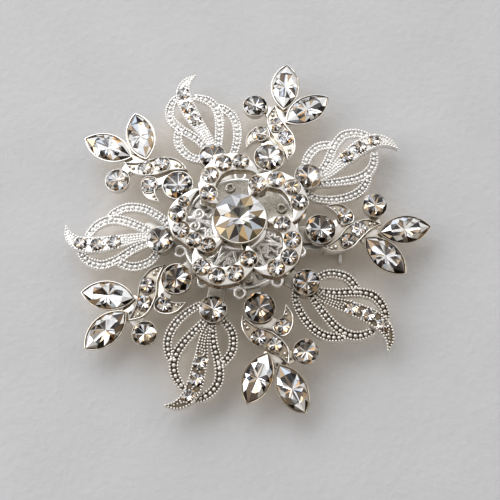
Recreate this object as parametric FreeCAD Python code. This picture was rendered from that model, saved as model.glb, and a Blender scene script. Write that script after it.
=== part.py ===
import FreeCAD, Part
import math
import os

# Hair pin / brooch: a five-fold burst of ten cast sprays on a round back plate,
# a raised pinwheel tier with a large centre stone, and a hinged pin with a
# roll-over catch on the back. Units are millimetres.
#
# Frame: +Z is the face that shows, the five-fold axis is the Z axis, and the
# origin is where that axis crosses the centre line of the closed pin stem.

V = FreeCAD.Vector

# ---------------------------------------------------------------- dimensions
Z0 = 5.9                     # height of the spray datum above the pin stem

# back
PIN_ANGLE = -4.0            # direction of the pin stem, degrees from +X
PIN_R = 0.45
PIN_TIP_X = 20.8
PIN_TAPER = 5.4
HINGE_X = -17.6
EAR_R = 1.25
EAR_T = 0.6
EAR_GAP = 2.2
KNUCKLE_R = 1.1
KNUCKLE_W = 1.9
HINGE_PIN_R = 0.40
KNUCKLE_BORE = 0.45
BAR_W = 3.8
BAR_T = 0.7
BAR_X0, BAR_X1 = -20.0, 19.9
CATCH_X0, CATCH_X1 = 17.1, 19.8
CATCH_RO, CATCH_RI = 1.75, 1.20
LATCH_RO, LATCH_RI = 1.12, 0.62
MOUTH_W = 1.30
LATCH_FLANGE_R = 1.55
LATCH_X0, LATCH_X1 = 16.3, 20.9
LEVER_LEN, LEVER_W = 3.4, 1.2
LEVER_REST = 200.0           # where the lever points when the catch is open, from +Y

# base plates, heights above the spray datum
PLATE_Z0, PLATE_Z1, PLATE_R = -3.0, -2.2, 12.0
TANG_Z0, TANG_Z1, TANG_W = -2.2, -1.4, 3.5
LACE_Z0, LACE_Z1 = -1.4, -0.8
RIVET_R, RIVET_HOLE, RIVET_RING = 0.60, 0.62, 9.8
BAR_RIVET_X = 5.5

# centre
POST_R, POST_BORE = 2.4, 1.0
HUB_Z0, HUB_Z1, HUB_R = 3.2, 4.4, 5.6
ARM_Z0, ARM_Z1 = 4.4, 6.75
CENTRE_GIRDLE_Z, CENTRE_STONE_R = 7.6, 5.12
CUP_TOP_R, CUP_BASE_R = 5.30, 3.4

# stones: radius, crown height, pavilion depth
STONE_GAP = 0.04
GIRDLE_T = 0.16
BIG_R, SMALL_R, LEAF_R = 3.04, 2.46, 2.66
PAVE_R, WHEEL_R = 1.50, 1.56
PLUME_R, PLUME_TIP_R = 1.26, 1.16
NAV_L, NAV_W, NAV_WALL = 10.1, 5.2, 0.40

# spray placement: base angle, and for each casting its own small turn and
# shift, because the castings are soldered by hand
FLOWER_BASE, LEAF_BASE = 71.1, 36.9
FLOWER_SET = [(3.29, 1.53, 0.22), (-1.08, -0.10, 0.89), (0.39, -0.97, -0.54),
              (-3.37, 1.23, -1.56), (0.90, 0.50, 0.28)]
LEAF_SET = [(-6.33, -1.01, 1.79), (2.66, -1.33, -2.09), (-5.18, 1.75, -1.17),
            (-5.16, 1.99, -3.07), (-0.82, 0.06, -0.80)]
# where the raised stone cup stands on each leaf casting
LEAF_CUP = [(-0.68, 17.45), (-0.07, 17.03), (0.58, 17.02), (-0.47, 17.88), (-0.30, 17.36)]
LEAF_GIRDLE_Z = 1.5
FLOWER_TILT = 6.73           # the flower sprays slope down outwards
FLOWER_PIVOT = (16.16, 0.35)
LEAF_FLAT_Y, LEAF_TOP_Z = 16.5, -0.30
PLUME_BEND_R, PLUME_T = 120.0, 1.6   # the plume arches over the four bands
STRIP_BEND_R, STRIP_T = 73.0, 1.3

# pinwheel arm, in a local frame with y through the middle of the opening
WHEEL_ANGLE = 28.5
ARM_PATH = [((-3.75, 4.35), 0.38), ((-4.65, 5.35), 1.1), ((-5.06, 6.45), 1.80),
            ((-4.95, 8.4), 1.62), ((-4.03, 10.23), 1.92), ((-2.7, 11.5), 1.86),
            ((-1.07, 12.25), 1.95), ((0.7, 12.35), 1.84), ((2.43, 11.95), 1.76),
            ((4.1, 10.75), 1.05), ((5.0, 9.4), 0.42), ((5.25, 8.55), 0.16)]
ARM_STONES = [(-5.06, 6.6, WHEEL_R), (-4.03, 10.3, WHEEL_R), (-1.04, 12.3, WHEEL_R), (2.40, 12.0, WHEEL_R)]
# one arm is longer at its root and carries a fifth, smaller stone
LONG_ARM = 3
LONG_PATH = [((-4.3, 2.9), 0.38), ((-5.3, 4.1), 1.1), ((-6.0, 5.45), 1.66),
             ((-5.85, 6.8), 1.45), ((-5.35, 8.3), 1.74), ((-4.6, 9.8), 1.62), ((-3.55, 11.15), 1.88),
             ((-2.1, 12.0), 1.74), ((-0.5, 12.35), 1.88), ((1.0, 12.15), 1.6), ((2.35, 11.45), 1.35),
             ((3.8, 10.5), 0.9), ((5.0, 9.4), 0.42), ((5.25, 8.55), 0.16)]
LONG_STONES = [(-6.0, 5.40, 1.36), (-5.35, 8.3, 1.44), (-3.5, 11.1, WHEEL_R), (-0.35, 12.3, WHEEL_R),
               (2.35, 11.4, 1.0)]

os.makedirs("parts", exist_ok=True)


# ---------------------------------------------------------------- helpers
def export(name, shape):
    if not shape.isValid():
        print("INVALID", name)
    solids = shape.Solids
    print("%-28s solids %2d  volume %9.3f" % (name, len(solids), shape.Volume))
    if len(solids) == 1:
        shape = solids[0]
    shape.exportStep("parts/%s.step" % name)
    return shape


def cyl(r, z0, z1, x=0.0, y=0.0):
    return Part.makeCylinder(r, z1 - z0, V(x, y, z0))


def catmull(pts, n=6):
    """Smooth a list of equal-length tuples."""
    out = []
    k = len(pts)
    for i in range(k - 1):
        p0 = pts[max(i - 1, 0)]
        p1, p2 = pts[i], pts[i + 1]
        p3 = pts[min(i + 2, k - 1)]
        for s in range(n):
            t = s / n
            out.append(tuple(
                0.5 * (2 * b + (c - a) * t + (2 * a - 5 * b + 4 * c - d) * t * t
                       + (3 * b - a - 3 * c + d) * t ** 3)
                for a, b, c, d in zip(p0, p1, p2, p3)))
    out.append(tuple(pts[-1]))
    return out


def strip_face(path, n=4, caps=True):
    """A flat band along path [(x, y, half width)], with rounded ends."""
    pts = catmull([tuple(p) for p in path], n)
    left, right = [], []
    m = len(pts)
    for i, (x, y, w) in enumerate(pts):
        ax, ay, _ = pts[max(i - 1, 0)]
        bx, by, _ = pts[min(i + 1, m - 1)]
        dx, dy = bx - ax, by - ay
        d = math.hypot(dx, dy)
        nx, ny = -dy / d, dx / d
        left.append((x + nx * w, y + ny * w))
        right.append((x - nx * w, y - ny * w))
    outline = list(left)
    if caps:
        x, y, w = pts[-1]
        a0 = math.atan2(left[-1][1] - y, left[-1][0] - x)
        if w > 0.3:
            outline += [(x + w * math.cos(a0 - math.pi * s / 5),
                         y + w * math.sin(a0 - math.pi * s / 5)) for s in range(1, 5)]
    outline += right[::-1]
    if caps:
        x, y, w = pts[0]
        a0 = math.atan2(right[0][1] - y, right[0][0] - x)
        if w > 0.3:
            outline += [(x + w * math.cos(a0 - math.pi * s / 5),
                         y + w * math.sin(a0 - math.pi * s / 5)) for s in range(1, 5)]
    return outline


def prism(outline, z0, z1):
    ring = [V(x, y, z0) for x, y in outline]
    ring.append(ring[0])
    return Part.Face(Part.makePolygon(ring)).extrude(V(0, 0, z1 - z0))


def closed_smooth(pts, corners=(), n=4):
    """A smooth closed outline; indices in corners stay sharp."""
    k = len(pts)
    out = []
    for i in range(k):
        p1, p2 = pts[i], pts[(i + 1) % k]
        p0 = pts[i] if i in corners else pts[(i - 1) % k]
        p3 = p2 if (i + 1) % k in corners else pts[(i + 2) % k]
        for s in range(n):
            t = s / n
            out.append(tuple(
                0.5 * (2 * b + (c - a) * t + (2 * a - 5 * b + 4 * c - d) * t * t
                       + (3 * b - a - 3 * c + d) * t ** 3)
                for a, b, c, d in zip(p0, p1, p2, p3)))
    return out


def fuse(shapes):
    s = shapes[0]
    if len(shapes) > 1:
        s = s.multiFuse(shapes[1:])
    return s.removeSplitter()


def revolve(profile):
    """Turn a closed (r, z) outline about the Z axis."""
    ring = [V(r, 0, z) for r, z in profile]
    ring.append(ring[0])
    return Part.Face(Part.makePolygon(ring)).revolve(V(0, 0, 0), V(0, 0, 1), 360)


def stone(r, crown, pav):
    """A round stone with its girdle at z = 0: table, crown, girdle, pavilion."""
    g = GIRDLE_T / 2
    return revolve([(0, -g - pav), (0.22 * r, -g - pav), (r, -g), (r, g),
                    (0.56 * r, g + crown), (0, g + crown)])


def stone_seat(r, pav, up):
    """The recess that a round stone drops into, open upwards."""
    g = GIRDLE_T / 2
    q = r + STONE_GAP
    return revolve([(0, -g - pav - 0.06), (0.22 * r + 0.05, -g - pav - 0.06),
                    (q, -g - 0.06), (q, up), (0, up)])


def lens_wire(length, width, off, z):
    """Two arcs meeting in points: the outline of a navette stone."""
    rr = (length ** 2 + width ** 2) / (4 * width)
    c = rr - width / 2
    r = rr + off
    tip = math.sqrt(r * r - c * c)
    w = r - c
    a = Part.Arc(V(0, -tip, z), V(w, 0, z), V(0, tip, z)).toShape()
    b = Part.Arc(V(0, tip, z), V(-w, 0, z), V(0, -tip, z)).toShape()
    return Part.Wire([a, b])


def lens_prism(off, z0, z1):
    return Part.Face(lens_wire(NAV_L, NAV_W, off, z0)).extrude(V(0, 0, z1 - z0))


def navette_stone():
    g = GIRDLE_T / 2
    mid = lens_prism(0, -g, g)
    crown = Part.makeLoft([lens_wire(NAV_L, NAV_W, 0, g),
                           lens_wire(NAV_L * 0.60, NAV_W * 0.52, 0, g + 0.95)], True, True)
    pav = Part.makeLoft([lens_wire(NAV_L * 0.45, NAV_W * 0.22, 0, -g - 1.35),
                         lens_wire(NAV_L, NAV_W, 0, -g)], True, True)
    return fuse([mid, crown, pav])


def turned(shape, angle, x=0.0, y=0.0, z=0.0):
    s = shape.copy()
    s.rotate(V(0, 0, 0), V(0, 0, 1), angle)
    s.translate(V(x, y, z))
    return s


# ---------------------------------------------------------------- placement
def spray_angle(base, i, setting):
    return base - 72.0 * i + setting[0]


def to_world(x, y, base, i, setting):
    a = math.radians(spray_angle(base, i, setting))
    return (x * math.sin(a) + y * math.cos(a) + setting[1],
            -x * math.cos(a) + y * math.sin(a) + setting[2])


def place(shape, base, i, setting):
    return turned(shape, spray_angle(base, i, setting) - 90.0, setting[1], setting[2], Z0)


def tilt_flower(shape):
    """Lay a flat flower piece on its slope (z = 0 is the girdle plane)."""
    s = shape.copy()
    s.translate(V(0, -FLOWER_PIVOT[0], 0))
    s.rotate(V(0, 0, 0), V(1, 0, 0), -FLOWER_TILT)
    s.translate(V(0, FLOWER_PIVOT[0], FLOWER_PIVOT[1]))
    return s


def plume_top(y):
    d = max(y - LEAF_FLAT_Y, 0.0)
    return LEAF_TOP_Z - PLUME_BEND_R + math.sqrt(PLUME_BEND_R ** 2 - d * d)


def leaf_seat(shape, x, y, sink=0.0):
    """Put a piece whose datum is z = 0 on the curved plume at (x, y)."""
    d = max(y - LEAF_FLAT_Y, 0.0)
    s = shape.copy()
    s.rotate(V(0, 0, 0), V(1, 0, 0), -math.degrees(math.asin(d / PLUME_BEND_R)))
    s.translate(V(x, y, plume_top(y) - sink))
    return s


# rivet positions: each tang reaches in to a ring of ten rivets
def rivet_at(base, i, setting, at, skew):
    x, y = to_world(at[0], at[1], base, i, setting)
    a = math.atan2(y, x) + math.radians(skew)
    return (RIVET_RING * math.cos(a), RIVET_RING * math.sin(a))


FLOWER_STONE_Y = 16.2
flower_rivets = [rivet_at(FLOWER_BASE, i, FLOWER_SET[i], (0.0, FLOWER_STONE_Y), -4.0) for i in range(5)]
leaf_rivets = [rivet_at(LEAF_BASE, i, LEAF_SET[i], LEAF_CUP[i], -8.0) for i in range(5)]


def tang(p, q, width, hole):
    """A flat arm from a casting at p to its rivet at q."""
    dx, dy = p[0] - q[0], p[1] - q[1]
    length = math.hypot(dx, dy)
    ang = math.degrees(math.atan2(dy, dx))
    z0, z1 = TANG_Z0 + Z0, TANG_Z1 + Z0
    box = Part.makeBox(length, width, z1 - z0, V(0, -width / 2, z0))
    box.rotate(V(0, 0, 0), V(0, 0, 1), ang)
    box.translate(V(q[0], q[1], 0))
    s = fuse([box, cyl(width / 2, z0, z1, q[0], q[1])])
    return s.cut(cyl(hole, z0 - 1, z1 + 1, q[0], q[1]))


# ---------------------------------------------------------------- leaf sprays
# bands as (x, y, half width)
LEAF_STRIPS = [
    [(-1.9, 17.9, 0.85), (-4.5, 19.5, 0.95), (-5.85, 22.6, 1.0), (-5.3, 25.2, 0.95), (-4.4, 26.2, 0.85)],
    [(-0.35, 19.6, 0.8), (-2.06, 23.0, 0.95), (-4.3, 26.0, 1.0), (-5.65, 29.0, 1.05), (-5.2, 31.5, 1.0),
     (-3.9, 33.3, 0.9), (-2.6, 34.0, 0.8)],
    [(1.1, 18.6, 0.8), (2.85, 22.8, 0.95), (3.95, 26.5, 1.05), (3.85, 29.1, 1.05), (2.75, 31.2, 1.0),
     (0.9, 32.6, 0.85)],
    [(1.9, 15.9, 0.8), (3.8, 17.0, 0.85), (5.7, 19.8, 0.95), (6.7, 22.9, 1.0), (6.6, 25.7, 1.0), (5.4, 28.0, 0.9),
     (4.6, 28.7, 0.8)],
]
PLUME = [(0.2, 19.4, 0.9), (0.35, 21.3, 0.95), (0.0, 23.4, 1.1), (-0.6, 25.6, 1.35), (-1.15, 28.0, 1.55),
         (-1.6, 30.6, 1.68), (-1.65, 33.0, 1.66), (-1.1, 35.1, 1.4), (0.3, 36.7, 0.9), (2.1, 37.4, 0.25)]
PLUME_STONES = [(-1.0, 27.2, PLUME_R), (-1.6, 30.6, PLUME_R), (-1.5, 34.0, PLUME_TIP_R)]
PLUME_PAV = 0.62


def slab(x0, x1, y0, y1, r, t):
    """A curved sheet of bend radius r that part of a leaf casting is cut from."""
    ym = LEAF_FLAT_Y
    zc = LEAF_TOP_Z - r

    def pt(y, rad):
        d = y - ym
        return V(x0, y, zc + math.sqrt(rad * rad - d * d))

    yq = 0.5 * (ym + y1)
    top = [Part.LineSegment(V(x0, y0, LEAF_TOP_Z), V(x0, ym, LEAF_TOP_Z)).toShape(),
           Part.Arc(V(x0, ym, LEAF_TOP_Z), pt(yq, r), pt(y1, r)).toShape()]
    ri = r - t
    bottom = [Part.LineSegment(pt(y1, r), pt(y1, ri)).toShape(),
              Part.Arc(pt(y1, ri), pt(yq, ri), V(x0, ym, LEAF_TOP_Z - t)).toShape(),
              Part.LineSegment(V(x0, ym, LEAF_TOP_Z - t), V(x0, y0, LEAF_TOP_Z - t)).toShape(),
              Part.LineSegment(V(x0, y0, LEAF_TOP_Z - t), V(x0, y0, LEAF_TOP_Z)).toShape()]
    return Part.Face(Part.Wire(top + bottom)).extrude(V(x1 - x0, 0, 0))


bands = fuse([prism(strip_face(s), -9, 3) for s in LEAF_STRIPS])
bands = bands.common(slab(-9, 9, 14.0, 41.0, STRIP_BEND_R, STRIP_T))
plume = prism(strip_face(PLUME), -9, 3).common(slab(-9, 9, 14.0, 41.0, PLUME_BEND_R, PLUME_T))
leaf_body = fuse([bands, plume])
for x, y, r in PLUME_STONES:
    leaf_body = leaf_body.cut(leaf_seat(stone_seat(r, PLUME_PAV, 1.5), x, y, 0.04))
print("leaf template valid", leaf_body.isValid(), len(leaf_body.Solids))

base_stones, plume_stones, plume_tips = [], [], []
for i in range(5):
    st = LEAF_SET[i]
    cx, cy = LEAF_CUP[i]
    seat = stone_seat(LEAF_R, 1.25, 1.5)
    seat.translate(V(cx, cy, LEAF_GIRDLE_Z))
    cup = cyl(LEAF_R + 0.20, -2.0, LEAF_GIRDLE_Z + 0.10, cx, cy)
    body = place(fuse([leaf_body, cup]), LEAF_BASE, i, st)
    p = to_world(cx, cy, LEAF_BASE, i, st)
    arm = tang(p, leaf_rivets[i], TANG_W, RIVET_HOLE)
    body = fuse([body, arm]).cut(place(seat, LEAF_BASE, i, st))
    export("leaf_spray_%d" % (i + 1), body)
    s = stone(LEAF_R, 0.95, 1.25)
    s.translate(V(cx, cy, LEAF_GIRDLE_Z))
    base_stones.append(place(s, LEAF_BASE, i, st))
    for k, (x, y, r) in enumerate(PLUME_STONES):
        g = leaf_seat(stone(r, 0.5, PLUME_PAV), x, y, 0.04)
        (plume_tips if k == 2 else plume_stones).append(place(g, LEAF_BASE, i, st))
export("leaf_base_stones", Part.makeCompound(base_stones))
export("plume_stones", Part.makeCompound(plume_stones))
export("plume_tip_stones", Part.makeCompound(plume_tips))

# ---------------------------------------------------------------- flower sprays
S_LEAF = [(-2.0, 28.6), (-0.6, 26.3), (1.2, 24.6), (3.3, 22.8), (4.4, 20.5), (4.5, 18.5),
          (3.75, 16.6), (3.1, 17.8), (1.6, 19.7), (-0.8, 21.5), (-2.4, 23.8), (-2.9, 26.0)]
CRESCENT = [(-5.1, 17.0), (-5.75, 19.4), (-5.1, 21.5), (-3.6, 22.9), (-2.0, 22.7),
            (-1.2, 20.9), (-2.3, 20.15), (-4.0, 18.9)]
WEB = [(-3.6, 26.2), (-2.4, 25.6), (-0.8, 25.6), (1.0, 24.4), (2.2, 25.2), (1.8, 26.9),
       (0.4, 28.9), (-0.6, 29.6), (-2.0, 28.7), (-3.6, 28.2)]
FLOWER_PAVE = [(-0.7, 24.1), (2.0, 21.8), (-3.3, 21.1)]
SMALL_AT = (-6.0, 27.2)
NAVETTES = [(-1.2, 33.4, 11.0), (4.6, 29.4, -39.8)]
CAST_Z0, CAST_Z1 = -1.55, -0.10
FLOWER_PAV = 0.78

body = [prism(closed_smooth(S_LEAF, corners=(0, 6)), CAST_Z0, CAST_Z1),
        prism(closed_smooth(CRESCENT, corners=(0,)), CAST_Z0, CAST_Z1),
        prism(WEB, CAST_Z0, CAST_Z0 + 0.9),
        prism([(-2.6, 19.2), (-1.2, 18.2), (2.4, 18.0), (3.4, 18.4), (2.2, 20.2), (-0.4, 22.0),
               (-2.2, 22.2), (-3.0, 20.6)], CAST_Z0, CAST_Z0 + 0.8),
        cyl(BIG_R + 0.18, -2.25, 0.12, 0.0, FLOWER_STONE_Y),
        cyl(SMALL_R + 0.20, -1.75, 0.12, *SMALL_AT)]
for x, y, a in NAVETTES:
    body.append(turned(lens_prism(NAV_WALL, -1.75, 0.12), a, x, y))
body = fuse(body)
cuts = []
s = stone_seat(BIG_R, 1.5, 2.0)
s.translate(V(0, FLOWER_STONE_Y, 0))
cuts.append(s)
big_seat = s
s = stone_seat(SMALL_R, 1.15, 2.0)
s.translate(V(SMALL_AT[0], SMALL_AT[1], 0))
cuts.append(s)
for x, y in FLOWER_PAVE:
    s = stone_seat(PAVE_R, FLOWER_PAV, 2.0)
    s.translate(V(x, y, CAST_Z1))
    cuts.append(s)
for x, y, a in NAVETTES:
    cuts.append(turned(lens_prism(STONE_GAP, -1.5, 2.0), a, x, y))
for c in cuts:
    body = body.cut(c)
flower_body = tilt_flower(body)
big_seat = tilt_flower(big_seat)
print("flower template valid", flower_body.isValid(), len(flower_body.Solids))

big, small, pave, nav = [], [], [], []
for i in range(5):
    st = FLOWER_SET[i]
    body = place(flower_body, FLOWER_BASE, i, st)
    p = to_world(0, FLOWER_STONE_Y, FLOWER_BASE, i, st)
    arm = tang(p, flower_rivets[i], TANG_W, RIVET_HOLE)
    body = fuse([body, arm]).cut(place(big_seat, FLOWER_BASE, i, st))
    export("flower_spray_%d" % (i + 1), body)

    def put(g, x, y, z=0.0, a=0.0):
        return place(tilt_flower(turned(g, a, x, y, z)), FLOWER_BASE, i, st)

    big.append(put(stone(BIG_R, 1.05, 1.5), 0, FLOWER_STONE_Y))
    small.append(put(stone(SMALL_R, 0.9, 1.15), *SMALL_AT))
    for x, y in FLOWER_PAVE:
        pave.append(put(stone(PAVE_R, 0.55, FLOWER_PAV), x, y, CAST_Z1))
    for x, y, a in NAVETTES:
        nav.append(put(navette_stone(), x, y, 0.0, a))
export("flower_large_stones", Part.makeCompound(big))
export("flower_small_stones", Part.makeCompound(small))
export("flower_pave_stones", Part.makeCompound(pave))
export("navette_stones", Part.makeCompound(nav))

# ---------------------------------------------------------------- base plates
plate = cyl(PLATE_R, PLATE_Z0 + Z0, PLATE_Z1 + Z0)
holes = [cyl(RIVET_HOLE, PLATE_Z0 + Z0 - 1, PLATE_Z1 + Z0 + 1, x, y)
         for x, y in flower_rivets + leaf_rivets]
ca, sa = math.cos(math.radians(PIN_ANGLE)), math.sin(math.radians(PIN_ANGLE))
for s in (-1, 1):
    holes.append(cyl(RIVET_HOLE, PLATE_Z0 + Z0 - 1, PLATE_Z1 + Z0 + 1,
                     s * BAR_RIVET_X * ca, s * BAR_RIVET_X * sa))
holes.append(cyl(POST_BORE, PLATE_Z0 + Z0 - 1, PLATE_Z1 + Z0 + 1))
for h in holes:
    plate = plate.cut(h)
export("back_plate", plate)

# the lace plate: two rings, curved ribs, ten loops between the castings
LOOP_R, LOOP_RO, LOOP_RI = 12.55, 1.35, 0.72
za, zb = LACE_Z0 + Z0, LACE_Z1 + Z0
lace = [cyl(11.9, za, zb).cut(cyl(11.1, za - 1, zb + 1)),
        cyl(3.4, za, zb)]
for k in range(10):
    a = math.radians(18 + 36 * k)
    lace.append(cyl(LOOP_RO, za, zb, LOOP_R * math.cos(a), LOOP_R * math.sin(a)))
for x, y in flower_rivets + leaf_rivets:
    a = math.atan2(y, x)
    lace.append(cyl(1.45, za, zb, x, y))
    path = []
    for r, d in ((2.6, -0.34), (4.6, -0.20), (6.6, 0.02), (8.6, 0.03), (9.8, 0.0), (11.5, -0.06)):
        path.append((r * math.cos(a + d), r * math.sin(a + d), 0.42))
    lace.append(prism(strip_face(path, 3), za, zb))
for k in range(10):
    a = math.radians(18 + 36 * k)
    path = []
    for r, d in ((11.4, 0.0), (9.9, 0.10), (8.4, 0.06), (7.4, -0.10), (7.6, -0.26)):
        path.append((r * math.cos(a + d), r * math.sin(a + d), 0.38))
    lace.append(prism(strip_face(path, 3), za, zb))
lace = fuse(lace)
for x, y in flower_rivets + leaf_rivets:
    lace = lace.cut(cyl(RIVET_HOLE, za - 1, zb + 1, x, y))
for k in range(10):
    a = math.radians(18 + 36 * k)
    lace = lace.cut(cyl(LOOP_RI, za - 1, zb + 1, LOOP_R * math.cos(a), LOOP_R * math.sin(a)))
lace = lace.cut(cyl(POST_BORE, za - 1, zb + 1))
export("filigree_plate", lace)

rivets = []
for x, y in flower_rivets + leaf_rivets:
    shank = cyl(RIVET_R, PLATE_Z0 + Z0, zb, x, y)
    head = Part.makeCone(1.0, 0.7, 0.45, V(x, y, zb))
    rivets.append(fuse([shank, head]))
export("spray_rivets", Part.makeCompound(rivets))

# ---------------------------------------------------------------- centre stack
post = cyl(POST_R, zb, HUB_Z0 + Z0).cut(cyl(POST_BORE, zb - 1, HUB_Z0 + Z0 + 1))
export("centre_post", post)


def to_wheel(x, y, k):
    a = math.radians(WHEEL_ANGLE - 72.0 * k)
    return (x * math.sin(a) + y * math.cos(a), -x * math.cos(a) + y * math.sin(a))


def arm_of(path):
    return prism(strip_face([(p[0], p[1], w) for p, w in path], 4), ARM_Z0 + Z0, ARM_Z1 + Z0)


arm0, long0 = arm_of(ARM_PATH), arm_of(LONG_PATH)
foot0 = prism(strip_face([(-2.6, 3.3, 0.9), (-3.75, 4.5, 1.0), (-4.7, 5.9, 1.3)], 4),
              HUB_Z0 + Z0, ARM_Z0 + Z0 + 0.6)
foot0 = foot0.cut(Part.makeCylinder(CUP_TOP_R + 0.15, 5, V(0, 0, HUB_Z1 + Z0)))
wheel = [cyl(HUB_R, HUB_Z0 + Z0, HUB_Z1 + Z0)]
wheel_stones, seats = [], []
for k in range(5):
    ang = WHEEL_ANGLE - 72.0 * k - 90.0
    wheel.append(turned(long0 if k == LONG_ARM else arm0, ang))
    wheel.append(turned(foot0, ang))
    for x, y, r in (LONG_STONES if k == LONG_ARM else ARM_STONES):
        wx, wy = to_wheel(x, y, k)
        s = stone_seat(r, 0.78, 2.0)
        s.translate(V(wx, wy, ARM_Z1 + Z0))
        seats.append(s)
        g = stone(r, 0.55, 0.78)
        g.translate(V(wx, wy, ARM_Z1 + Z0))
        wheel_stones.append(g)
wheel = fuse(wheel)
for s in seats:
    wheel = wheel.cut(s)
wheel = wheel.cut(cyl(POST_BORE, 0, 20))
wheel = wheel.cut(cyl(1.62, HUB_Z1 + Z0 - 0.6, HUB_Z1 + Z0 + 1))
wheel = wheel.cut(Part.makeCone(CUP_BASE_R + 0.1, CUP_TOP_R + 0.1, CENTRE_GIRDLE_Z - 0.5 - HUB_Z1,
                                V(0, 0, HUB_Z1 + Z0)))
export("pinwheel_tier", wheel)
export("pinwheel_stones", Part.makeCompound(wheel_stones))

cg = CENTRE_GIRDLE_Z + Z0
cup = revolve([(0, HUB_Z1 + Z0), (CUP_BASE_R, HUB_Z1 + Z0), (CUP_TOP_R, cg - 0.5),
               (CUP_TOP_R, cg + 0.12), (0, cg + 0.12)])
seat = stone_seat(CENTRE_STONE_R, 2.55, 3.0)
seat.translate(V(0, 0, cg))
cup = cup.cut(seat)
export("centre_cup", cup)
g = stone(CENTRE_STONE_R, 1.55, 2.55)
g.translate(V(0, 0, cg))
export("centre_stone", g)

rz = PLATE_Z0 + Z0 - BAR_T
rivet = fuse([cyl(POST_BORE - 0.04, rz, HUB_Z1 + Z0 - 0.6),
              cyl(1.7, rz - 0.6, rz),
              cyl(1.55, HUB_Z1 + Z0 - 0.6, HUB_Z1 + Z0)])
export("centre_rivet", rivet)

# ---------------------------------------------------------------- pin back
# built along X with the stem's centre line on z = 0, then turned to PIN_ANGLE
bar_top = PLATE_Z0 + Z0
bar_bot = bar_top - BAR_T


def back(shape):
    return turned(shape, PIN_ANGLE)


bar = fuse([Part.makeBox(BAR_X1 - BAR_X0 - BAR_W / 2, BAR_W, BAR_T, V(BAR_X0 + BAR_W / 2, -BAR_W / 2, bar_bot)),
            cyl(BAR_W / 2, bar_bot, bar_top, BAR_X0 + BAR_W / 2, 0)])
bar = bar.cut(cyl(POST_BORE, bar_bot - 1, bar_top + 1))
for s in (-1, 1):
    bar = bar.cut(cyl(RIVET_HOLE, bar_bot - 1, bar_top + 1, s * BAR_RIVET_X, 0))
export("pin_bar", back(bar))

bar_rivets = []
for s in (-1, 1):
    x = s * BAR_RIVET_X
    bar_rivets.append(back(fuse([cyl(RIVET_R, bar_bot, PLATE_Z1 + Z0, x, 0),
                                 Part.makeCone(0.75, 1.05, 0.4, V(x, 0, bar_bot - 0.4)),
                                 Part.makeCone(1.05, 0.75, 0.4, V(x, 0, PLATE_Z1 + Z0))])))
export("bar_rivets", Part.makeCompound(bar_rivets))

# hinge bracket: a foot soldered to the bar with two ears
ears = [Part.makeBox(3.6, EAR_GAP + 2 * EAR_T, 0.4, V(HINGE_X - 1.6, -EAR_GAP / 2 - EAR_T, bar_bot - 0.4))]
for s in (-1, 1):
    y0 = EAR_GAP / 2 if s > 0 else -EAR_GAP / 2 - EAR_T
    ears.append(Part.makeBox(2 * EAR_R, EAR_T, bar_bot - 0.2, V(HINGE_X - EAR_R, y0, 0)))
    ears.append(Part.makeCylinder(EAR_R, EAR_T, V(HINGE_X, y0, 0), V(0, 1, 0)))
bracket = fuse(ears)
bracket = bracket.cut(Part.makeCylinder(HINGE_PIN_R, 10, V(HINGE_X, -5, 0), V(0, 1, 0)))
export("hinge_bracket", back(bracket))

half_y = EAR_GAP / 2 + EAR_T
hinge_pin = fuse([Part.makeCylinder(HINGE_PIN_R, 2 * half_y, V(HINGE_X, -half_y, 0), V(0, 1, 0)),
                  Part.makeCylinder(0.72, 0.35, V(HINGE_X, half_y, 0), V(0, 1, 0)),
                  Part.makeCylinder(0.72, 0.35, V(HINGE_X, -half_y - 0.35, 0), V(0, 1, 0))])
export("hinge_rivet", back(hinge_pin))

stem = fuse([Part.makeCylinder(KNUCKLE_R, KNUCKLE_W, V(HINGE_X, -KNUCKLE_W / 2, 0), V(0, 1, 0)),
             Part.makeCylinder(PIN_R, PIN_TIP_X - PIN_TAPER - HINGE_X, V(HINGE_X, 0, 0), V(1, 0, 0)),
             Part.makeCone(PIN_R, 0.06, PIN_TAPER, V(PIN_TIP_X - PIN_TAPER, 0, 0), V(1, 0, 0))])
stem = stem.cut(Part.makeCylinder(KNUCKLE_BORE, 6, V(HINGE_X, -3, 0), V(0, 1, 0)))
export("pin_stem", back(stem))

# catch: a split sleeve on a foot; the latch is a split tube that turns in it
clen = CATCH_X1 - CATCH_X0
catch = fuse([Part.makeCylinder(CATCH_RO, clen, V(CATCH_X0, 0, 0), V(1, 0, 0)),
              Part.makeBox(clen, 2.2, bar_bot - 0.9, V(CATCH_X0, -1.1, 0.9)),
              Part.makeBox(clen, 4.0, 0.35, V(CATCH_X0, -2.0, bar_bot - 0.35))])
catch = catch.cut(Part.makeCylinder(CATCH_RI, clen + 2, V(CATCH_X0 - 1, 0, 0), V(1, 0, 0)))
catch = catch.cut(Part.makeBox(clen + 2, MOUTH_W, 4, V(CATCH_X0 - 1, -MOUTH_W / 2, -4)))
export("catch_housing", back(catch))

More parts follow.
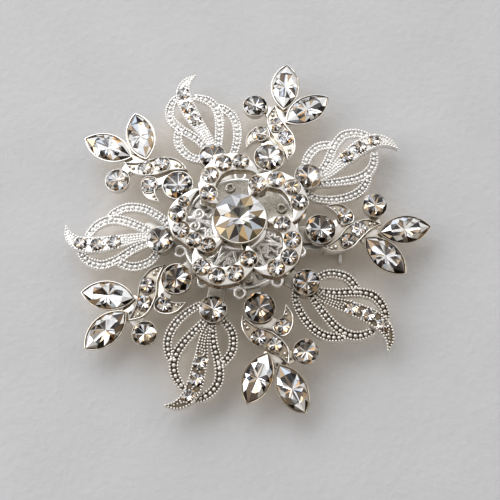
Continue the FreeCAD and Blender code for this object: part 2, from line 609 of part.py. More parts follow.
lx0 = CATCH_X0 - 0.12
lx1 = CATCH_X1 + 0.42
lever = fuse([Part.makeBox(LATCH_X1 - lx1, LEVER_LEN - LEVER_W / 2, LEVER_W, V(lx1, 0, -LEVER_W / 2)),
              Part.makeCylinder(LEVER_W / 2, LATCH_X1 - lx1, V(lx1, LEVER_LEN - LEVER_W / 2, 0), V(1, 0, 0))])
lever.rotate(V(0, 0, 0), V(1, 0, 0), LEVER_REST)
latch = [Part.makeCylinder(LATCH_RO, LATCH_X1 - LATCH_X0, V(LATCH_X0, 0, 0), V(1, 0, 0)),
         Part.makeCylinder(LATCH_FLANGE_R, lx0 - LATCH_X0, V(LATCH_X0, 0, 0), V(1, 0, 0)),
         Part.makeCylinder(LATCH_FLANGE_R, LATCH_X1 - lx1, V(lx1, 0, 0), V(1, 0, 0)),
         lever]
latch = fuse(latch)
latch = latch.cut(Part.makeCylinder(LATCH_RI, 8, V(LATCH_X0 - 1, 0, 0), V(1, 0, 0)))
latch = latch.cut(Part.makeBox(8, MOUTH_W, 4, V(LATCH_X0 - 1, -MOUTH_W / 2, -4)))
export("catch_latch", back(latch))
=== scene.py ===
import math

import bpy
import numpy as np
from mathutils import Matrix, Vector, geometry


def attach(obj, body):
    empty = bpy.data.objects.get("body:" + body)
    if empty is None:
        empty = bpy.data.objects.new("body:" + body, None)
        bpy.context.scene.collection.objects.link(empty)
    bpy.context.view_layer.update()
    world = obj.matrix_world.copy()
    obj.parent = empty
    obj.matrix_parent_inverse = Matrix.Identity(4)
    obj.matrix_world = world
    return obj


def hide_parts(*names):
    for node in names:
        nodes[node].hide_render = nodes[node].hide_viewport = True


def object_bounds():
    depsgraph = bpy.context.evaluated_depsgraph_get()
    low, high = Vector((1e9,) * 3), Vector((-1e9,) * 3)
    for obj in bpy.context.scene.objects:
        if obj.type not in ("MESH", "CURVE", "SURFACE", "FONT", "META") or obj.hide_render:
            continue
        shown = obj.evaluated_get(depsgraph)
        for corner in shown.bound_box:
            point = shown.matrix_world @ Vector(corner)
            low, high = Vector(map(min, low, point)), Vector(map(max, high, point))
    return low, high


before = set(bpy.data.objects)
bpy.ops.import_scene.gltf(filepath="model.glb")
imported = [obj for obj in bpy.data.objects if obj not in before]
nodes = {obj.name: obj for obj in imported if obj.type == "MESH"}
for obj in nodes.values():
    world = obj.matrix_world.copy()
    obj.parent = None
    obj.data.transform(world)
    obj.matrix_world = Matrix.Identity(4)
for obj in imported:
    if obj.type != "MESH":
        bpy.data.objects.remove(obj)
cad_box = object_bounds()
rng = np.random.default_rng(11)

# ---------------------------------------------------------------- dimensions (mm)
Z0 = 5.9
FLOWER_BASE, LEAF_BASE = 71.1, 36.9
FLOWER_SET = [(3.29, 1.53, 0.22), (-1.08, -0.10, 0.89), (0.39, -0.97, -0.54),
              (-3.37, 1.23, -1.56), (0.90, 0.50, 0.28)]
LEAF_SET = [(-6.33, -1.01, 1.79), (2.66, -1.33, -2.09), (-5.18, 1.75, -1.17),
            (-5.16, 1.99, -3.07), (-0.82, 0.06, -0.80)]
LEAF_CUP = [(-0.68, 17.45), (-0.07, 17.03), (0.58, 17.02), (-0.47, 17.88), (-0.30, 17.36)]
LEAF_GIRDLE = 1.5
FLOWER_TILT = math.radians(6.73)
PIVOT_Y, PIVOT_Z = 16.16, 0.35
FLAT_Y, TOP_Z = 16.5, -0.30
PLUME_BEND, STRIP_BEND = 120.0, 73.0
FLOWER_Y = 16.2
BIG_R, SMALL_R, LEAF_R, PAVE_R, WHEEL_R = 3.04, 2.46, 2.66, 1.50, 1.56
PLUME_R, PLUME_TIP_R, CENTRE_R = 1.26, 1.16, 5.12
NAV_L, NAV_W = 10.1, 5.2
CAST_Z0, CAST_Z1 = -1.55, -0.10
ARM_Z0, ARM_Z1 = 4.4, 6.75
WHEEL_ANGLE = 28.5
RIVET_RING = 9.8


# ---------------------------------------------------------------- mesh building
class Mesh:
    """Vertices and faces in millimetres, with a material, smoothness and tint per face."""

    def __init__(self):
        self.co, self.faces, self.mat, self.smooth, self.tint, self.n = [], [], [], [], [], 0

    def add(self, co, faces, mat=0, smooth=True, tint=None):
        co = np.asarray(co, float).reshape(-1, 3)
        b = self.n
        self.co.append(co)
        self.n += len(co)
        self.faces.extend([tuple(b + i for i in f) for f in faces])
        k = len(faces)
        self.mat.extend([mat] * k if isinstance(mat, int) else list(mat))
        self.smooth.extend([smooth] * k if isinstance(smooth, bool) else list(smooth))
        self.tint.extend([(1, 1, 1)] * k if tint is None else list(tint))

    def points(self):
        return np.vstack(self.co)

    def include(self, other, fn=None):
        co = other.points()
        if fn is not None:
            co = fn(co)
        self.add(co, other.faces, other.mat, other.smooth, other.tint)

    def build(self, name, mats, sharp=None, tint=False, weld=0.0):
        me = bpy.data.meshes.new(name)
        me.from_pydata((self.points() * 0.001).tolist(), [], self.faces)
        me.polygons.foreach_set("use_smooth", self.smooth)
        me.polygons.foreach_set("material_index", self.mat)
        for m in mats:
            me.materials.append(m)
        if tint:
            a = me.attributes.new("tint", "FLOAT_COLOR", "FACE")
            col = np.ones((len(self.faces), 4), np.float32)
            col[:, :3] = np.asarray(self.tint, np.float32)
            a.data.foreach_set("color", col.ravel())
        me.update()
        if sharp is not None:
            me.set_sharp_from_angle(angle=math.radians(sharp))
        ob = bpy.data.objects.new(name, me)
        bpy.context.scene.collection.objects.link(ob)
        return ob


def catmull(pts, n=6, closed=False):
    pts = [np.asarray(p, float) for p in pts]
    k = len(pts)
    out = []
    for i in range(k if closed else k - 1):
        if closed:
            p0, p1, p2, p3 = pts[i - 1], pts[i], pts[(i + 1) % k], pts[(i + 2) % k]
        else:
            p0, p1, p2, p3 = pts[max(i - 1, 0)], pts[i], pts[i + 1], pts[min(i + 2, k - 1)]
        for s in range(n):
            t = s / n
            out.append(0.5 * (2 * p1 + (p2 - p0) * t + (2 * p0 - 5 * p1 + 4 * p2 - p3) * t * t
                              + (3 * p1 - p0 - 3 * p2 + p3) * t ** 3))
    if not closed:
        out.append(pts[-1])
    return np.array(out)


def closed_smooth(pts, corners=(), n=5):
    k = len(pts)
    pts = [np.asarray(p, float) for p in pts]
    out = []
    for i in range(k):
        p1, p2 = pts[i], pts[(i + 1) % k]
        p0 = p1 if i in corners else pts[(i - 1) % k]
        p3 = p2 if (i + 1) % k in corners else pts[(i + 2) % k]
        for s in range(n):
            t = s / n
            out.append(0.5 * (2 * p1 + (p2 - p0) * t + (2 * p0 - 5 * p1 + 4 * p2 - p3) * t * t
                              + (3 * p1 - p0 - 3 * p2 + p3) * t ** 3))
    return np.array(out)


def area2(poly):
    x, y = poly[:, 0], poly[:, 1]
    return float(np.sum(x * np.roll(y, -1) - np.roll(x, -1) * y))


def ccw(poly):
    poly = np.asarray(poly, float)
    return poly if area2(poly) > 0 else poly[::-1].copy()


def resample(line, step, closed=False):
    """Points evenly spaced along a polyline."""
    line = np.asarray(line, float)
    if closed:
        line = np.vstack([line, line[:1]])
    seg = np.linalg.norm(np.diff(line, axis=0), axis=1)
    s = np.concatenate([[0], np.cumsum(seg)])
    n = max(2, int(round(s[-1] / step)))
    at = np.linspace(0, s[-1], n + 1)
    if closed:
        at = at[:-1]
    out = np.column_stack([np.interp(at, s, line[:, k]) for k in range(line.shape[1])])
    return out


def normals2(path):
    d = np.gradient(path[:, :2], axis=0)
    d /= np.linalg.norm(d, axis=1)[:, None] + 1e-12
    return np.column_stack([-d[:, 1], d[:, 0]])


def inside(poly, pts):
    x, y = pts[:, 0], pts[:, 1]
    res = np.zeros(len(pts), bool)
    j = len(poly) - 1
    for i in range(len(poly)):
        xi, yi = poly[i]
        xj, yj = poly[j]
        if yi != yj:
            c = ((yi > y) != (yj > y)) & (x < (xj - xi) * (y - yi) / (yj - yi) + xi)
            res ^= c
        j = i
    return res


def cap(loops_outer, loops_hole):
    """Triangles that fill an outline with holes: points, faces (counter-clockwise)."""
    co, edges = [], []
    for loop in [loops_outer] + list(loops_hole):
        b = len(co)
        k = len(loop)
        co += [Vector((float(p[0]), float(p[1]))) for p in loop]
        edges += [(b + i, b + (i + 1) % k) for i in range(k)]
    vs, _, fs, *_ = geometry.delaunay_2d_cdt(co, edges, [], 1, 1e-6)
    v = np.array([(p.x, p.y) for p in vs])
    if not fs:
        return v, []
    cen = np.array([v[list(f)].mean(0) for f in fs])
    ok = inside(np.asarray(loops_outer), cen)
    for h in loops_hole:
        ok &= ~inside(np.asarray(h), cen)
    out = []
    for f, keep in zip(fs, ok):
        if keep:
            f = list(f)
            if area2(v[f]) < 0:
                f = f[::-1]
            out.append(tuple(f))
    return v, out


def inward(poly):
    """Unit normals that point into a counter-clockwise outline, and the room there."""
    prev, nxt = np.roll(poly, 1, axis=0), np.roll(poly, -1, axis=0)
    a = poly - prev
    b = nxt - poly
    a /= np.linalg.norm(a, axis=1)[:, None] + 1e-12
    b /= np.linalg.norm(b, axis=1)[:, None] + 1e-12
    t = a + b
    t /= np.linalg.norm(t, axis=1)[:, None] + 1e-9
    n = np.column_stack([-t[:, 1], t[:, 0]])
    cosh = np.clip((a * t).sum(1), 0.35, 1)
    room = np.full(len(poly), 99.0)
    p1, p2 = poly, nxt
    for i in range(len(poly)):
        o = poly[i] + n[i] * 1e-3
        d = n[i]
        e = p2 - p1
        den = d[0] * e[:, 1] - d[1] * e[:, 0]
        w = p1 - o
        with np.errstate(divide="ignore", invalid="ignore"):
            s = (w[:, 0] * e[:, 1] - w[:, 1] * e[:, 0]) / den
            u = (w[:, 0] * d[1] - w[:, 1] * d[0]) / den
        hit = (np.abs(den) > 1e-12) & (s > 1e-3) & (u >= 0) & (u <= 1)
        if hit.any():
            room[i] = s[hit].min()
    return n / cosh[:, None], room


def stack(mesh, outline, levels, holes=(), mat=0, hole_segs=28, walls=0, tray=0):
    """A solid built up from an outline. levels = [(inset, z), ...] from the foot to the rim of
    the top face; holes = [(x, y, r, lip, bottom z)] are round recesses in the top face. The
    first `walls` steps of the side take the next material, and the top face takes mat + tray."""
    outline = ccw(outline)
    nrm, room = inward(outline)
    lim = 0.40 * room
    lim = np.minimum(lim, np.minimum(np.roll(lim, 1), np.roll(lim, -1)) * 1.25)
    rings = []
    for d, z in levels:
        off = np.sign(d) * np.minimum(np.abs(d), lim) if d > 0 else np.full(len(outline), d)
        rings.append((outline + nrm * np.asarray(off)[:, None], z))
    k = len(outline)
    co = np.vstack([np.column_stack([r, np.full(k, z)]) for r, z in rings])
    faces = []
    for a in range(len(rings) - 1):
        for i in range(k):
            j = (i + 1) % k
            faces.append((a * k + i, a * k + j, (a + 1) * k + j, (a + 1) * k + i))
    # foot
    v, f = cap(rings[0][0], [])
    b = len(co)
    co = np.vstack([co, np.column_stack([v, np.full(len(v), rings[0][1])])])
    faces += [tuple(b + i for i in reversed(t)) for t in f]
    foot = len(f)
    # top with holes
    zt = rings[-1][1]
    loops = []
    for x, y, r, lip, zb in holes:
        a = np.linspace(0, 2 * math.pi, hole_segs, endpoint=False)
        c = np.column_stack([np.cos(a), np.sin(a)])
        top = np.array([x, y]) + c * (r + lip)
        loops.append(top)
        prof = [(r + lip, zt), (r + 0.3 * lip, zt - 0.3 * lip), (r, zt - lip), (r, zb)]
        b = len(co)
        for rr, zz in prof:
            co = np.vstack([co, np.column_stack([np.array([x, y]) + c * rr, np.full(hole_segs, zz)])])
        for q in range(len(prof) - 1):
            for i in range(hole_segs):
                j = (i + 1) % hole_segs
                faces.append((b + q * hole_segs + j, b + q * hole_segs + i,
                              b + (q + 1) * hole_segs + i, b + (q + 1) * hole_segs + j))
        faces.append(tuple(b + (len(prof) - 1) * hole_segs + i for i in range(hole_segs)))
    v, f = cap(rings[-1][0], loops)
    b = len(co)
    co = np.vstack([co, np.column_stack([v, np.full(len(v), zt)])])
    faces += [tuple(b + i for i in t) for t in f]
    side = (len(rings) - 1) * k
    mats = [mat + 1 if q < side and q // k < walls else mat + tray if q >= side + foot else mat
            for q in range(len(faces))]
    co, faces, kept = weld(co, faces)
    mesh.add(co, faces, [mats[q] for q in kept])


def weld(co, faces, tol=1e-4):
    key = np.round(co / tol).astype(np.int64)
    _, first, inv = np.unique(key, axis=0, return_index=True, return_inverse=True)
    inv = inv.ravel()
    out, kept = [], []
    for n, f in enumerate(faces):
        g = []
        for i in f:
            q = int(inv[i])
            if not g or g[-1] != q:
                g.append(q)
        if len(g) > 1 and g[0] == g[-1]:
            g.pop()
        if len(set(g)) == len(g) and len(g) > 2:
            out.append(tuple(g))
            kept.append(n)
    return co[first], out, kept


def lathe(mesh, profile, x=0.0, y=0.0, segs=32, mat=0, closed=False, phase=0.0, smooth=True):
    """Turn (r, z) points about a vertical axis at (x, y). Points go up the outside."""
    a = np.linspace(0, 2 * math.pi, segs, endpoint=False) + phase
    ca, sa = np.cos(a), np.sin(a)
    co, idx = [], []
    for r, z in profile:
        if r < 1e-6:
            idx.append([len(co)] * segs)
            co.append((x, y, z))
        else:
            b = len(co)
            idx.append(list(range(b, b + segs)))
            co += [(x + r * c, y + r * s, z) for c, s in zip(ca, sa)]
    faces = []
    m = len(profile)
    for q in range(m if closed else m - 1):
        lo, hi = idx[q], idx[(q + 1) % m]
        for i in range(segs):
            j = (i + 1) % segs
            f = [lo[i], lo[j], hi[j], hi[i]]
            g = []
            for v in f:
                if v not in g:
                    g.append(v)
            if len(g) > 2:
                faces.append(tuple(g))
    mesh.add(co, faces, mat, smooth)


def ball_template(segs=10, rings=6):
    co, faces = [(0, 0, -1)], []
    for q in range(1, rings):
        t = -math.pi / 2 + math.pi * q / rings
        for i in range(segs):
            p = 2 * math.pi * i / segs
            co.append((math.cos(t) * math.cos(p), math.cos(t) * math.sin(p), math.sin(t)))
    co.append((0, 0, 1))
    top = len(co) - 1
    for i in range(segs):
        j = (i + 1) % segs
        faces.append((0, 1 + j, 1 + i))
        for q in range(rings - 2):
            b = 1 + q * segs
            faces.append((b + i, b + j, b + segs + j, b + segs + i))
        b = 1 + (rings - 2) * segs
        faces.append((b + i, b + j, top))
    return np.array(co, float), faces


BALL = ball_template(10, 6)
BALL_MID = ball_template(14, 8)
BALL_FINE = ball_template(16, 10)


def beads(mesh, centres, radii, mat=0, flat=1.0, ball=BALL):
    """A round bead at each (x, y, z)."""
    co, faces = ball
    centres = np.asarray(centres, float).reshape(-1, 3)
    radii = np.broadcast_to(np.asarray(radii, float), (len(centres),))
    for c, r in zip(centres, radii):
        mesh.add(co * np.array([r, r, r * flat]) + c, faces, mat)


def band(mesh, path, section, mat=0, taper_ends=True):
    """Sweep a cross-section [(across, up)] along path [(x, y, half width)]. across is in half
    widths. The ends are rounded off."""
    path = np.asarray(path, float)
    n2 = normals2(path)
    t2 = np.column_stack([n2[:, 1], -n2[:, 0]])
    rings = []

    def ring(p, n, w, t, fwd, shrink):
        out = []
        for a, z in section:
            out.append((p[0] + n[0] * a * w * shrink + t[0] * fwd,
                        p[1] + n[1] * a * w * shrink + t[1] * fwd, z * (0.4 + 0.6 * shrink) if z > 0 else z))
        return out

    w0, w1 = path[0, 2], path[-1, 2]
    if taper_ends:
        for k in (4, 3, 2, 1):
            ang = math.pi / 2 * k / 4.3
            rings.append(ring(path[0], n2[0], w0, t2[0], -w0 * math.sin(ang), math.cos(ang)))
    for p, n in zip(path, n2):
        rings.append(ring(p, n, p[2], (0, 0), 0.0, 1.0))
    if taper_ends:
        for k in (1, 2, 3, 4):
            ang = math.pi / 2 * k / 4.3
            rings.append(ring(path[-1], n2[-1], w1, t2[-1], w1 * math.sin(ang), math.cos(ang)))
    m = len(section)
    co = np.array(rings).reshape(-1, 3)
    faces, mats = [], []
    for q in range(len(rings) - 1):
        for i in range(m):
            j = (i + 1) % m
            faces.append((q * m + i, q * m + j, (q + 1) * m + j, (q + 1) * m + i))
            mats.append(mat[i] if isinstance(mat, list) else mat)
    faces.append(tuple(range(m))[::-1])
    faces.append(tuple((len(rings) - 1) * m + i for i in range(m)))
    mesh.add(co, faces, mats + [0, 0])


def tube(mesh, path, r_across, r_up, sides=8, closed=False, mat=0):
    """A round or flattened wire along 3-D points."""
    path = np.asarray(path, float)
    k = len(path)
    if closed:
        d = np.roll(path, -1, axis=0) - np.roll(path, 1, axis=0)
    else:
        d = np.gradient(path, axis=0)
    d /= np.linalg.norm(d, axis=1)[:, None] + 1e-12
    up = np.array([0, 0, 1.0])
    n = np.cross(up, d)
    n /= np.linalg.norm(n, axis=1)[:, None] + 1e-12
    b = np.cross(d, n)
    ra = np.broadcast_to(np.asarray(r_across, float), (k,))
    rb = np.broadcast_to(np.asarray(r_up, float), (k,))
    a = np.linspace(0, 2 * math.pi, sides, endpoint=False)
    rings = []
    for i in range(k):
        rings.append(path[i] + np.outer(np.cos(a) * ra[i], n[i]) + np.outer(np.sin(a) * rb[i], b[i]))
    if not closed:
        first, last = [], []
        for q in (3, 2, 1):
            t = math.pi / 2 * q / 3.3
            first.append(path[0] - d[0] * ra[0] * math.sin(t)
                         + (rings[0] - path[0]) * math.cos(t))
            last.append(path[-1] + d[-1] * ra[-1] * math.sin(t)
                        + (rings[k - 1] - path[-1]) * math.cos(t))
        rings = first + rings + last[::-1]
    m = len(rings)
    co = np.array(rings).reshape(-1, 3)
    faces = []
    for q in range(m if closed else m - 1):
        q2 = (q + 1) % m
        for i in range(sides):
            j = (i + 1) % sides
            faces.append((q * sides + i, q * sides + j, q2 * sides + j, q2 * sides + i))
    if not closed:
        faces.append(tuple(range(sides))[::-1])
        faces.append(tuple((m - 1) * sides + i for i in range(sides)))
    # outward winding
    mesh.add(co, faces, mat)


# ---------------------------------------------------------------- stones
# facet colours, painted reflections (white glints, black, brown, amber and blue facets), and how often each turns up
# in a dark and in a bright part of a stone
FACET_REFLECTIONS = [((0.95, 0.95, 0.95), 0.14, 0.64), ((0.025, 0.022, 0.022), 0.36, 0.05), ((0.19, 0.14, 0.095), 0.22, 0.06),
        ((0.60, 0.46, 0.31), 0.12, 0.11), ((0.42, 0.41, 0.40), 0.12, 0.10), ((0.76, 0.85, 1.00), 0.04, 0.04),
        ((1.00, 0.60, 0.28), 0.035, 0.025)]


def reflection_tint(n, bright):
    c = np.array([f[0] for f in FACET_REFLECTIONS])
    p = np.array([(1 - bright) * f[1] + bright * f[2] for f in FACET_REFLECTIONS]).clip(0.0)
    return c[rng.choice(len(c), size=n, p=p / p.sum())]


def facet_reflections(k, bright):
    """Painted reflections on the facets of one stone: bright mains, darker halves between them."""
    t = reflection_tint(1 + 11 * k, bright)
    for j in range(k):
        t[2 + 5 * j:4 + 5 * j] = reflection_tint(2, bright + 0.04)
        t[4 + 5 * j:6 + 5 * j] = reflection_tint(2, bright - 0.16)
        b = 1 + 7 * k + 4 * j
        t[b:b + 2] = reflection_tint(2, bright - 0.28)
        t[b + 2] = reflection_tint(1, bright + 0.45)[0]
        t[b + 3] = reflection_tint(1, bright + 0.02)[0]
    return t


def far_side(x, y):
    """0 on the side that faces the window, 1 on the side turned away from it."""
    return float(np.clip((0.33 * x - 0.95 * y + 15.0) / 35.0, 0.0, 1.0))


def gem(r, crown, pav, table=0.55, k=8, mid=0.80, low=0.34, shape=None, g=0.08):
    """A brilliant-cut stone, girdle at z = 0. Glass table and stars over a foiled pavilion, with
    mirror-bright facets round the crown. The foil and the crown facets carry painted reflections, one colour a face."""
    m = Mesh()
    rad = []
    for j in range(k):
        rad.append((table, 2 * math.pi * j / k, g + crown))
    for j in range(k):
        rad.append((mid, 2 * math.pi * (j + 0.5) / k,
                    g + crown * (1 - mid * math.cos(math.pi / k)) / (1 - table)))
    for z in (g, -g):
        for j in range(2 * k):
            rad.append((1.0, math.pi * j / k, z))
    for j in range(k):
        rad.append((low, 2 * math.pi * (j + 0.5) / k, -g - pav * (1 - low * math.cos(math.pi / k)) * 0.95))
    rad.append((0.0, 0.0, -g - pav))
    co = []
    for q, a, z in rad:
        s = r if shape is None else shape(a)
        co.append((q * s * math.cos(a), q * s * math.sin(a), z))
    T, M, G, L, P, C = 0, k, 2 * k, 4 * k, 6 * k, 7 * k
    f, mat = [tuple(T + j for j in range(k))], [0]
    for j in range(k):
        h = (j + 1) % k
        f.append((T + j, M + j, T + h))
        f.append((T + j, M + (j - 1) % k, G + 2 * j))
        f.append((T + j, G + 2 * j, M + j))
        f.append((M + j, G + 2 * j, G + 2 * j + 1))
        f.append((M + j, G + 2 * j + 1, G + (2 * j + 2) % (2 * k)))
        mat += [0, 2, 2, 2, 2]
    for j in range(2 * k):
        h = (j + 1) % (2 * k)
        f.append((G + j, L + j, L + h, G + h))
        mat.append(1)
    for j in range(k):
        f.append((P + j, L + 2 * j + 1, L + 2 * j))
        f.append((P + j, L + (2 * j + 2) % (2 * k), L + 2 * j + 1))
        f.append((C, P + j, L + 2 * j))
        f.append((C, L + 2 * j, P + (j - 1) % k))
        mat += [1, 1, 1, 1]
    m.add(co, f, mat, False, facet_reflections(k, 0.6))
    return m


def lens_radius(length, width):
    rr = (length ** 2 + width ** 2) / (4 * width)
    c = rr - width / 2

    def f(a):
        ca, sa = abs(math.cos(a)), math.sin(a)
        return -c * ca + math.sqrt(max(rr * rr - (c * sa) ** 2, 0.0))
    return f


def moved(co, x=0.0, y=0.0, z=0.0, spin=0.0, tilt=0.0):
    """Spin about z, tilt about x, then shift."""
    c, s = math.cos(spin), math.sin(spin)
    p = np.column_stack([co[:, 0] * c - co[:, 1] * s, co[:, 0] * s + co[:, 1] * c, co[:, 2]])
    c, s = math.cos(tilt), math.sin(tilt)
    p = np.column_stack([p[:, 0], p[:, 1] * c - p[:, 2] * s, p[:, 1] * s + p[:, 2] * c])
    return p + np.array([x, y, z])


def to_world(co, base, i, setting):
    a = math.radians(base - 72.0 * i + setting[0])
    return np.column_stack([co[:, 0] * math.sin(a) + co[:, 1] * math.cos(a) + setting[1],
                            -co[:, 0] * math.cos(a) + co[:, 1] * math.sin(a) + setting[2],
                            co[:, 2] + Z0])


def flower_slope(co):
    c, s = math.cos(-FLOWER_TILT), math.sin(-FLOWER_TILT)
    y = co[:, 1] - PIVOT_Y
    return np.column_stack([co[:, 0], y * c - co[:, 2] * s + PIVOT_Y, y * s + co[:, 2] * c + PIVOT_Z])


def bend_top(y, r):
    d = np.maximum(np.asarray(y, float) - FLAT_Y, 0.0)
    return TOP_Z - r + np.sqrt(r ** 2 - d * d)


def drop(r):
    return lambda co: np.column_stack([co[:, 0], co[:, 1], co[:, 2] + bend_top(co[:, 1], r)])


# ---------------------------------------------------------------- materials
def tree(name):
    m = bpy.data.materials.new(name)
    m.use_nodes = True
    nt = m.node_tree
    nt.nodes.clear()
    out = nt.nodes.new("ShaderNodeOutputMaterial")
    p = nt.nodes.new("ShaderNodeBsdfPrincipled")
    nt.links.new(p.outputs[0], out.inputs[0])
    return m, nt, p


def silver(name, bright, dark, rough=(0.10, 0.26), grain=1400.0, bump=0.10, ao_mm=0.9, ao_low=0.35,
           far_shade=None):
    """Plated metal: bright on the high spots, darker in the recesses (partly patina, partly painted shade), faint
    casting grain.
    The optional second (bright, dark) pair is painted shade: it takes over on the side turned away from the window."""
    m, nt, p = tree(name)
    N, Lk = nt.nodes.new, nt.links.new
    p.inputs["Metallic"].default_value = 1.0
    tc = N("ShaderNodeTexCoord")
    ao = N("ShaderNodeAmbientOcclusion")
    ao.samples = 6
    ao.inputs["Distance"].default_value = ao_mm * 0.001
    ramp = N("ShaderNodeMapRange")
    ramp.inputs["From Min"].default_value = ao_low
    ramp.inputs["From Max"].default_value = 0.95
    Lk(ao.outputs["AO"], ramp.inputs["Value"])
    big = N("ShaderNodeTexNoise")
    big.inputs["Scale"].default_value = 260.0
    big.inputs["Detail"].default_value = 3.0
    Lk(tc.outputs["Object"], big.inputs["Vector"])
    blot = N("ShaderNodeMapRange")
    blot.inputs["From Min"].default_value = 0.35
    blot.inputs["From Max"].default_value = 0.7
    blot.inputs["To Min"].default_value = 0.86
    blot.inputs["To Max"].default_value = 1.0
    Lk(big.outputs["Fac"], blot.inputs["Value"])
    mul = N("ShaderNodeMath")
    mul.operation = "MULTIPLY"
    Lk(ramp.outputs[0], mul.inputs[0])
    Lk(blot.outputs[0], mul.inputs[1])

    def blend(low, high):
        mix = N("ShaderNodeMix")
        mix.data_type = "RGBA"
        mix.inputs["A"].default_value = (*low, 1)
        mix.inputs["B"].default_value = (*high, 1)
        Lk(mul.outputs[0], mix.inputs["Factor"])
        return mix.outputs["Result"]

    # bright to dark by ambient occlusion: partly patina, partly painted shade in the recesses
    colour = blend(dark, bright)
    # painted shade: the second pair takes over on the side turned away from the window
    if far_shade is not None:
        side = N("ShaderNodeVectorMath")
        side.operation = "DOT_PRODUCT"
        side.inputs[1].default_value = (0.33, -0.95, 0.0)
        Lk(tc.outputs["Object"], side.inputs[0])
        far = N("ShaderNodeMapRange")
        far.inputs["From Min"].default_value = -0.010
        far.inputs["From Max"].default_value = 0.0195
        Lk(side.outputs["Value"], far.inputs["Value"])
        mix = N("ShaderNodeMix")
        mix.data_type = "RGBA"
        Lk(far.outputs[0], mix.inputs["Factor"])
        Lk(colour, mix.inputs["A"])
        Lk(blend(far_shade[1], far_shade[0]), mix.inputs["B"])
        colour = mix.outputs["Result"]
    Lk(colour, p.inputs["Base Color"])
    fine = N("ShaderNodeTexNoise")
    fine.inputs["Scale"].default_value = grain
    fine.inputs["Detail"].default_value = 4.0
    Lk(tc.outputs["Object"], fine.inputs["Vector"])
    rr = N("ShaderNodeMapRange")
    rr.inputs["From Min"].default_value = 0.3
    rr.inputs["From Max"].default_value = 0.75
    rr.inputs["To Min"].default_value = rough[0]
    rr.inputs["To Max"].default_value = rough[1]
    Lk(fine.outputs["Fac"], rr.inputs["Value"])
    Lk(rr.outputs[0], p.inputs["Roughness"])
    bp = N("ShaderNodeBump")
    bp.inputs["Strength"].default_value = bump
    bp.inputs["Distance"].default_value = 0.00006
    Lk(fine.outputs["Fac"], bp.inputs["Height"])
    Lk(bp.outputs[0], p.inputs["Normal"])
    return m


def glass():
    m, nt, p = tree("crystal_glass")
    p.inputs["Base Color"].default_value = (0.985, 0.985, 0.99, 1)
    p.inputs["Roughness"].default_value = 0.0
    p.inputs["IOR"].default_value = 1.58
    p.inputs["Transmission Weight"].default_value = 1.0
    return m


def foil(name, coat):
    m, nt, p = tree(name)
    N, Lk = nt.nodes.new, nt.links.new
    p.inputs["Metallic"].default_value = 1.0
    p.inputs["Roughness"].default_value = 0.01
    p.inputs["Coat Weight"].default_value = coat
    p.inputs["Coat Roughness"].default_value = 0.0
    # the per-face colour is painted reflection on the foil and the crown facets
    at = N("ShaderNodeAttribute")
    at.attribute_name = "tint"
    tc = N("ShaderNodeTexCoord")
    nz = N("ShaderNodeTexNoise")
    nz.inputs["Scale"].default_value = 900.0
    Lk(tc.outputs["Object"], nz.inputs["Vector"])
    mr = N("ShaderNodeMapRange")
    mr.inputs["To Min"].default_value = 0.85
    mr.inputs["To Max"].default_value = 1.0
    Lk(nz.outputs["Fac"], mr.inputs["Value"])
    mix = N("ShaderNodeMix")
    mix.data_type = "RGBA"
    mix.blend_type = "MULTIPLY"
    mix.inputs["Factor"].default_value = 1.0
    Lk(at.outputs["Color"], mix.inputs["A"])
    Lk(mr.outputs[0], mix.inputs["B"])
    Lk(mix.outputs["Result"], p.inputs["Base Color"])
    return m


# each metal goes from its dark colour in the recesses (partly patina, partly painted shade) to its bright colour on
# the high spots; the second pairs are painted shade on the side turned away from the window
MILGRAIN = silver("silver_milgrain", (1.0, 0.995, 0.99), (0.90, 0.89, 0.87), rough=(0.30, 0.46), ao_mm=0.4,
                  ao_low=0.15, far_shade=((0.93, 0.90, 0.85), (0.20, 0.15, 0.10)))
CHANNEL = silver("silver_channel", (0.97, 0.965, 0.95), (0.80, 0.785, 0.75), rough=(0.34, 0.50), ao_mm=0.6,
                 ao_low=0.10, far_shade=((0.26, 0.21, 0.15), (0.05, 0.035, 0.025)))
POLISHED = silver("silver_polished", (0.96, 0.95, 0.935), (0.44, 0.39, 0.31), rough=(0.07, 0.17), bump=0.05,
                  ao_mm=1.6, ao_low=0.25, far_shade=((0.92, 0.89, 0.85), (0.26, 0.20, 0.13)))
WHEEL = silver("silver_wheel", (0.87, 0.86, 0.845), (0.44, 0.395, 0.33), rough=(0.09, 0.20), bump=0.05,
               ao_mm=1.6, ao_low=0.25, far_shade=((0.82, 0.785, 0.74), (0.26, 0.20, 0.13)))
# painted shade and reflection: the brown wall colour stands in for the dark reflections on the pinwheel's side walls
# and the shade round its stones
WALL = silver("silver_wall", (0.50, 0.43, 0.33), (0.22, 0.17, 0.11), rough=(0.14, 0.28), bump=0.08, ao_mm=1.6,
              ao_low=0.25, far_shade=((0.40, 0.31, 0.20), (0.11, 0.08, 0.05)))
RIMM = silver("silver_rim", (0.93, 0.92, 0.905), (0.42, 0.37, 0.29), rough=(0.07, 0.17), bump=0.05,
              ao_mm=1.6, ao_low=0.25, far_shade=((0.62, 0.55, 0.46), (0.20, 0.15, 0.09)))
SEAT = silver("silver_seat", (0.66, 0.64, 0.60), (0.30, 0.26, 0.20), rough=(0.10, 0.22), bump=0.05, ao_mm=1.0,
              ao_low=0.25, far_shade=((0.56, 0.51, 0.44), (0.18, 0.14, 0.09)))
TRAY = silver("silver_tray", (0.76, 0.735, 0.68), (0.36, 0.30, 0.22), rough=(0.16, 0.32), bump=0.10, ao_mm=1.4,
              ao_low=0.2, far_shade=((0.58, 0.50, 0.39), (0.18, 0.13, 0.08)))
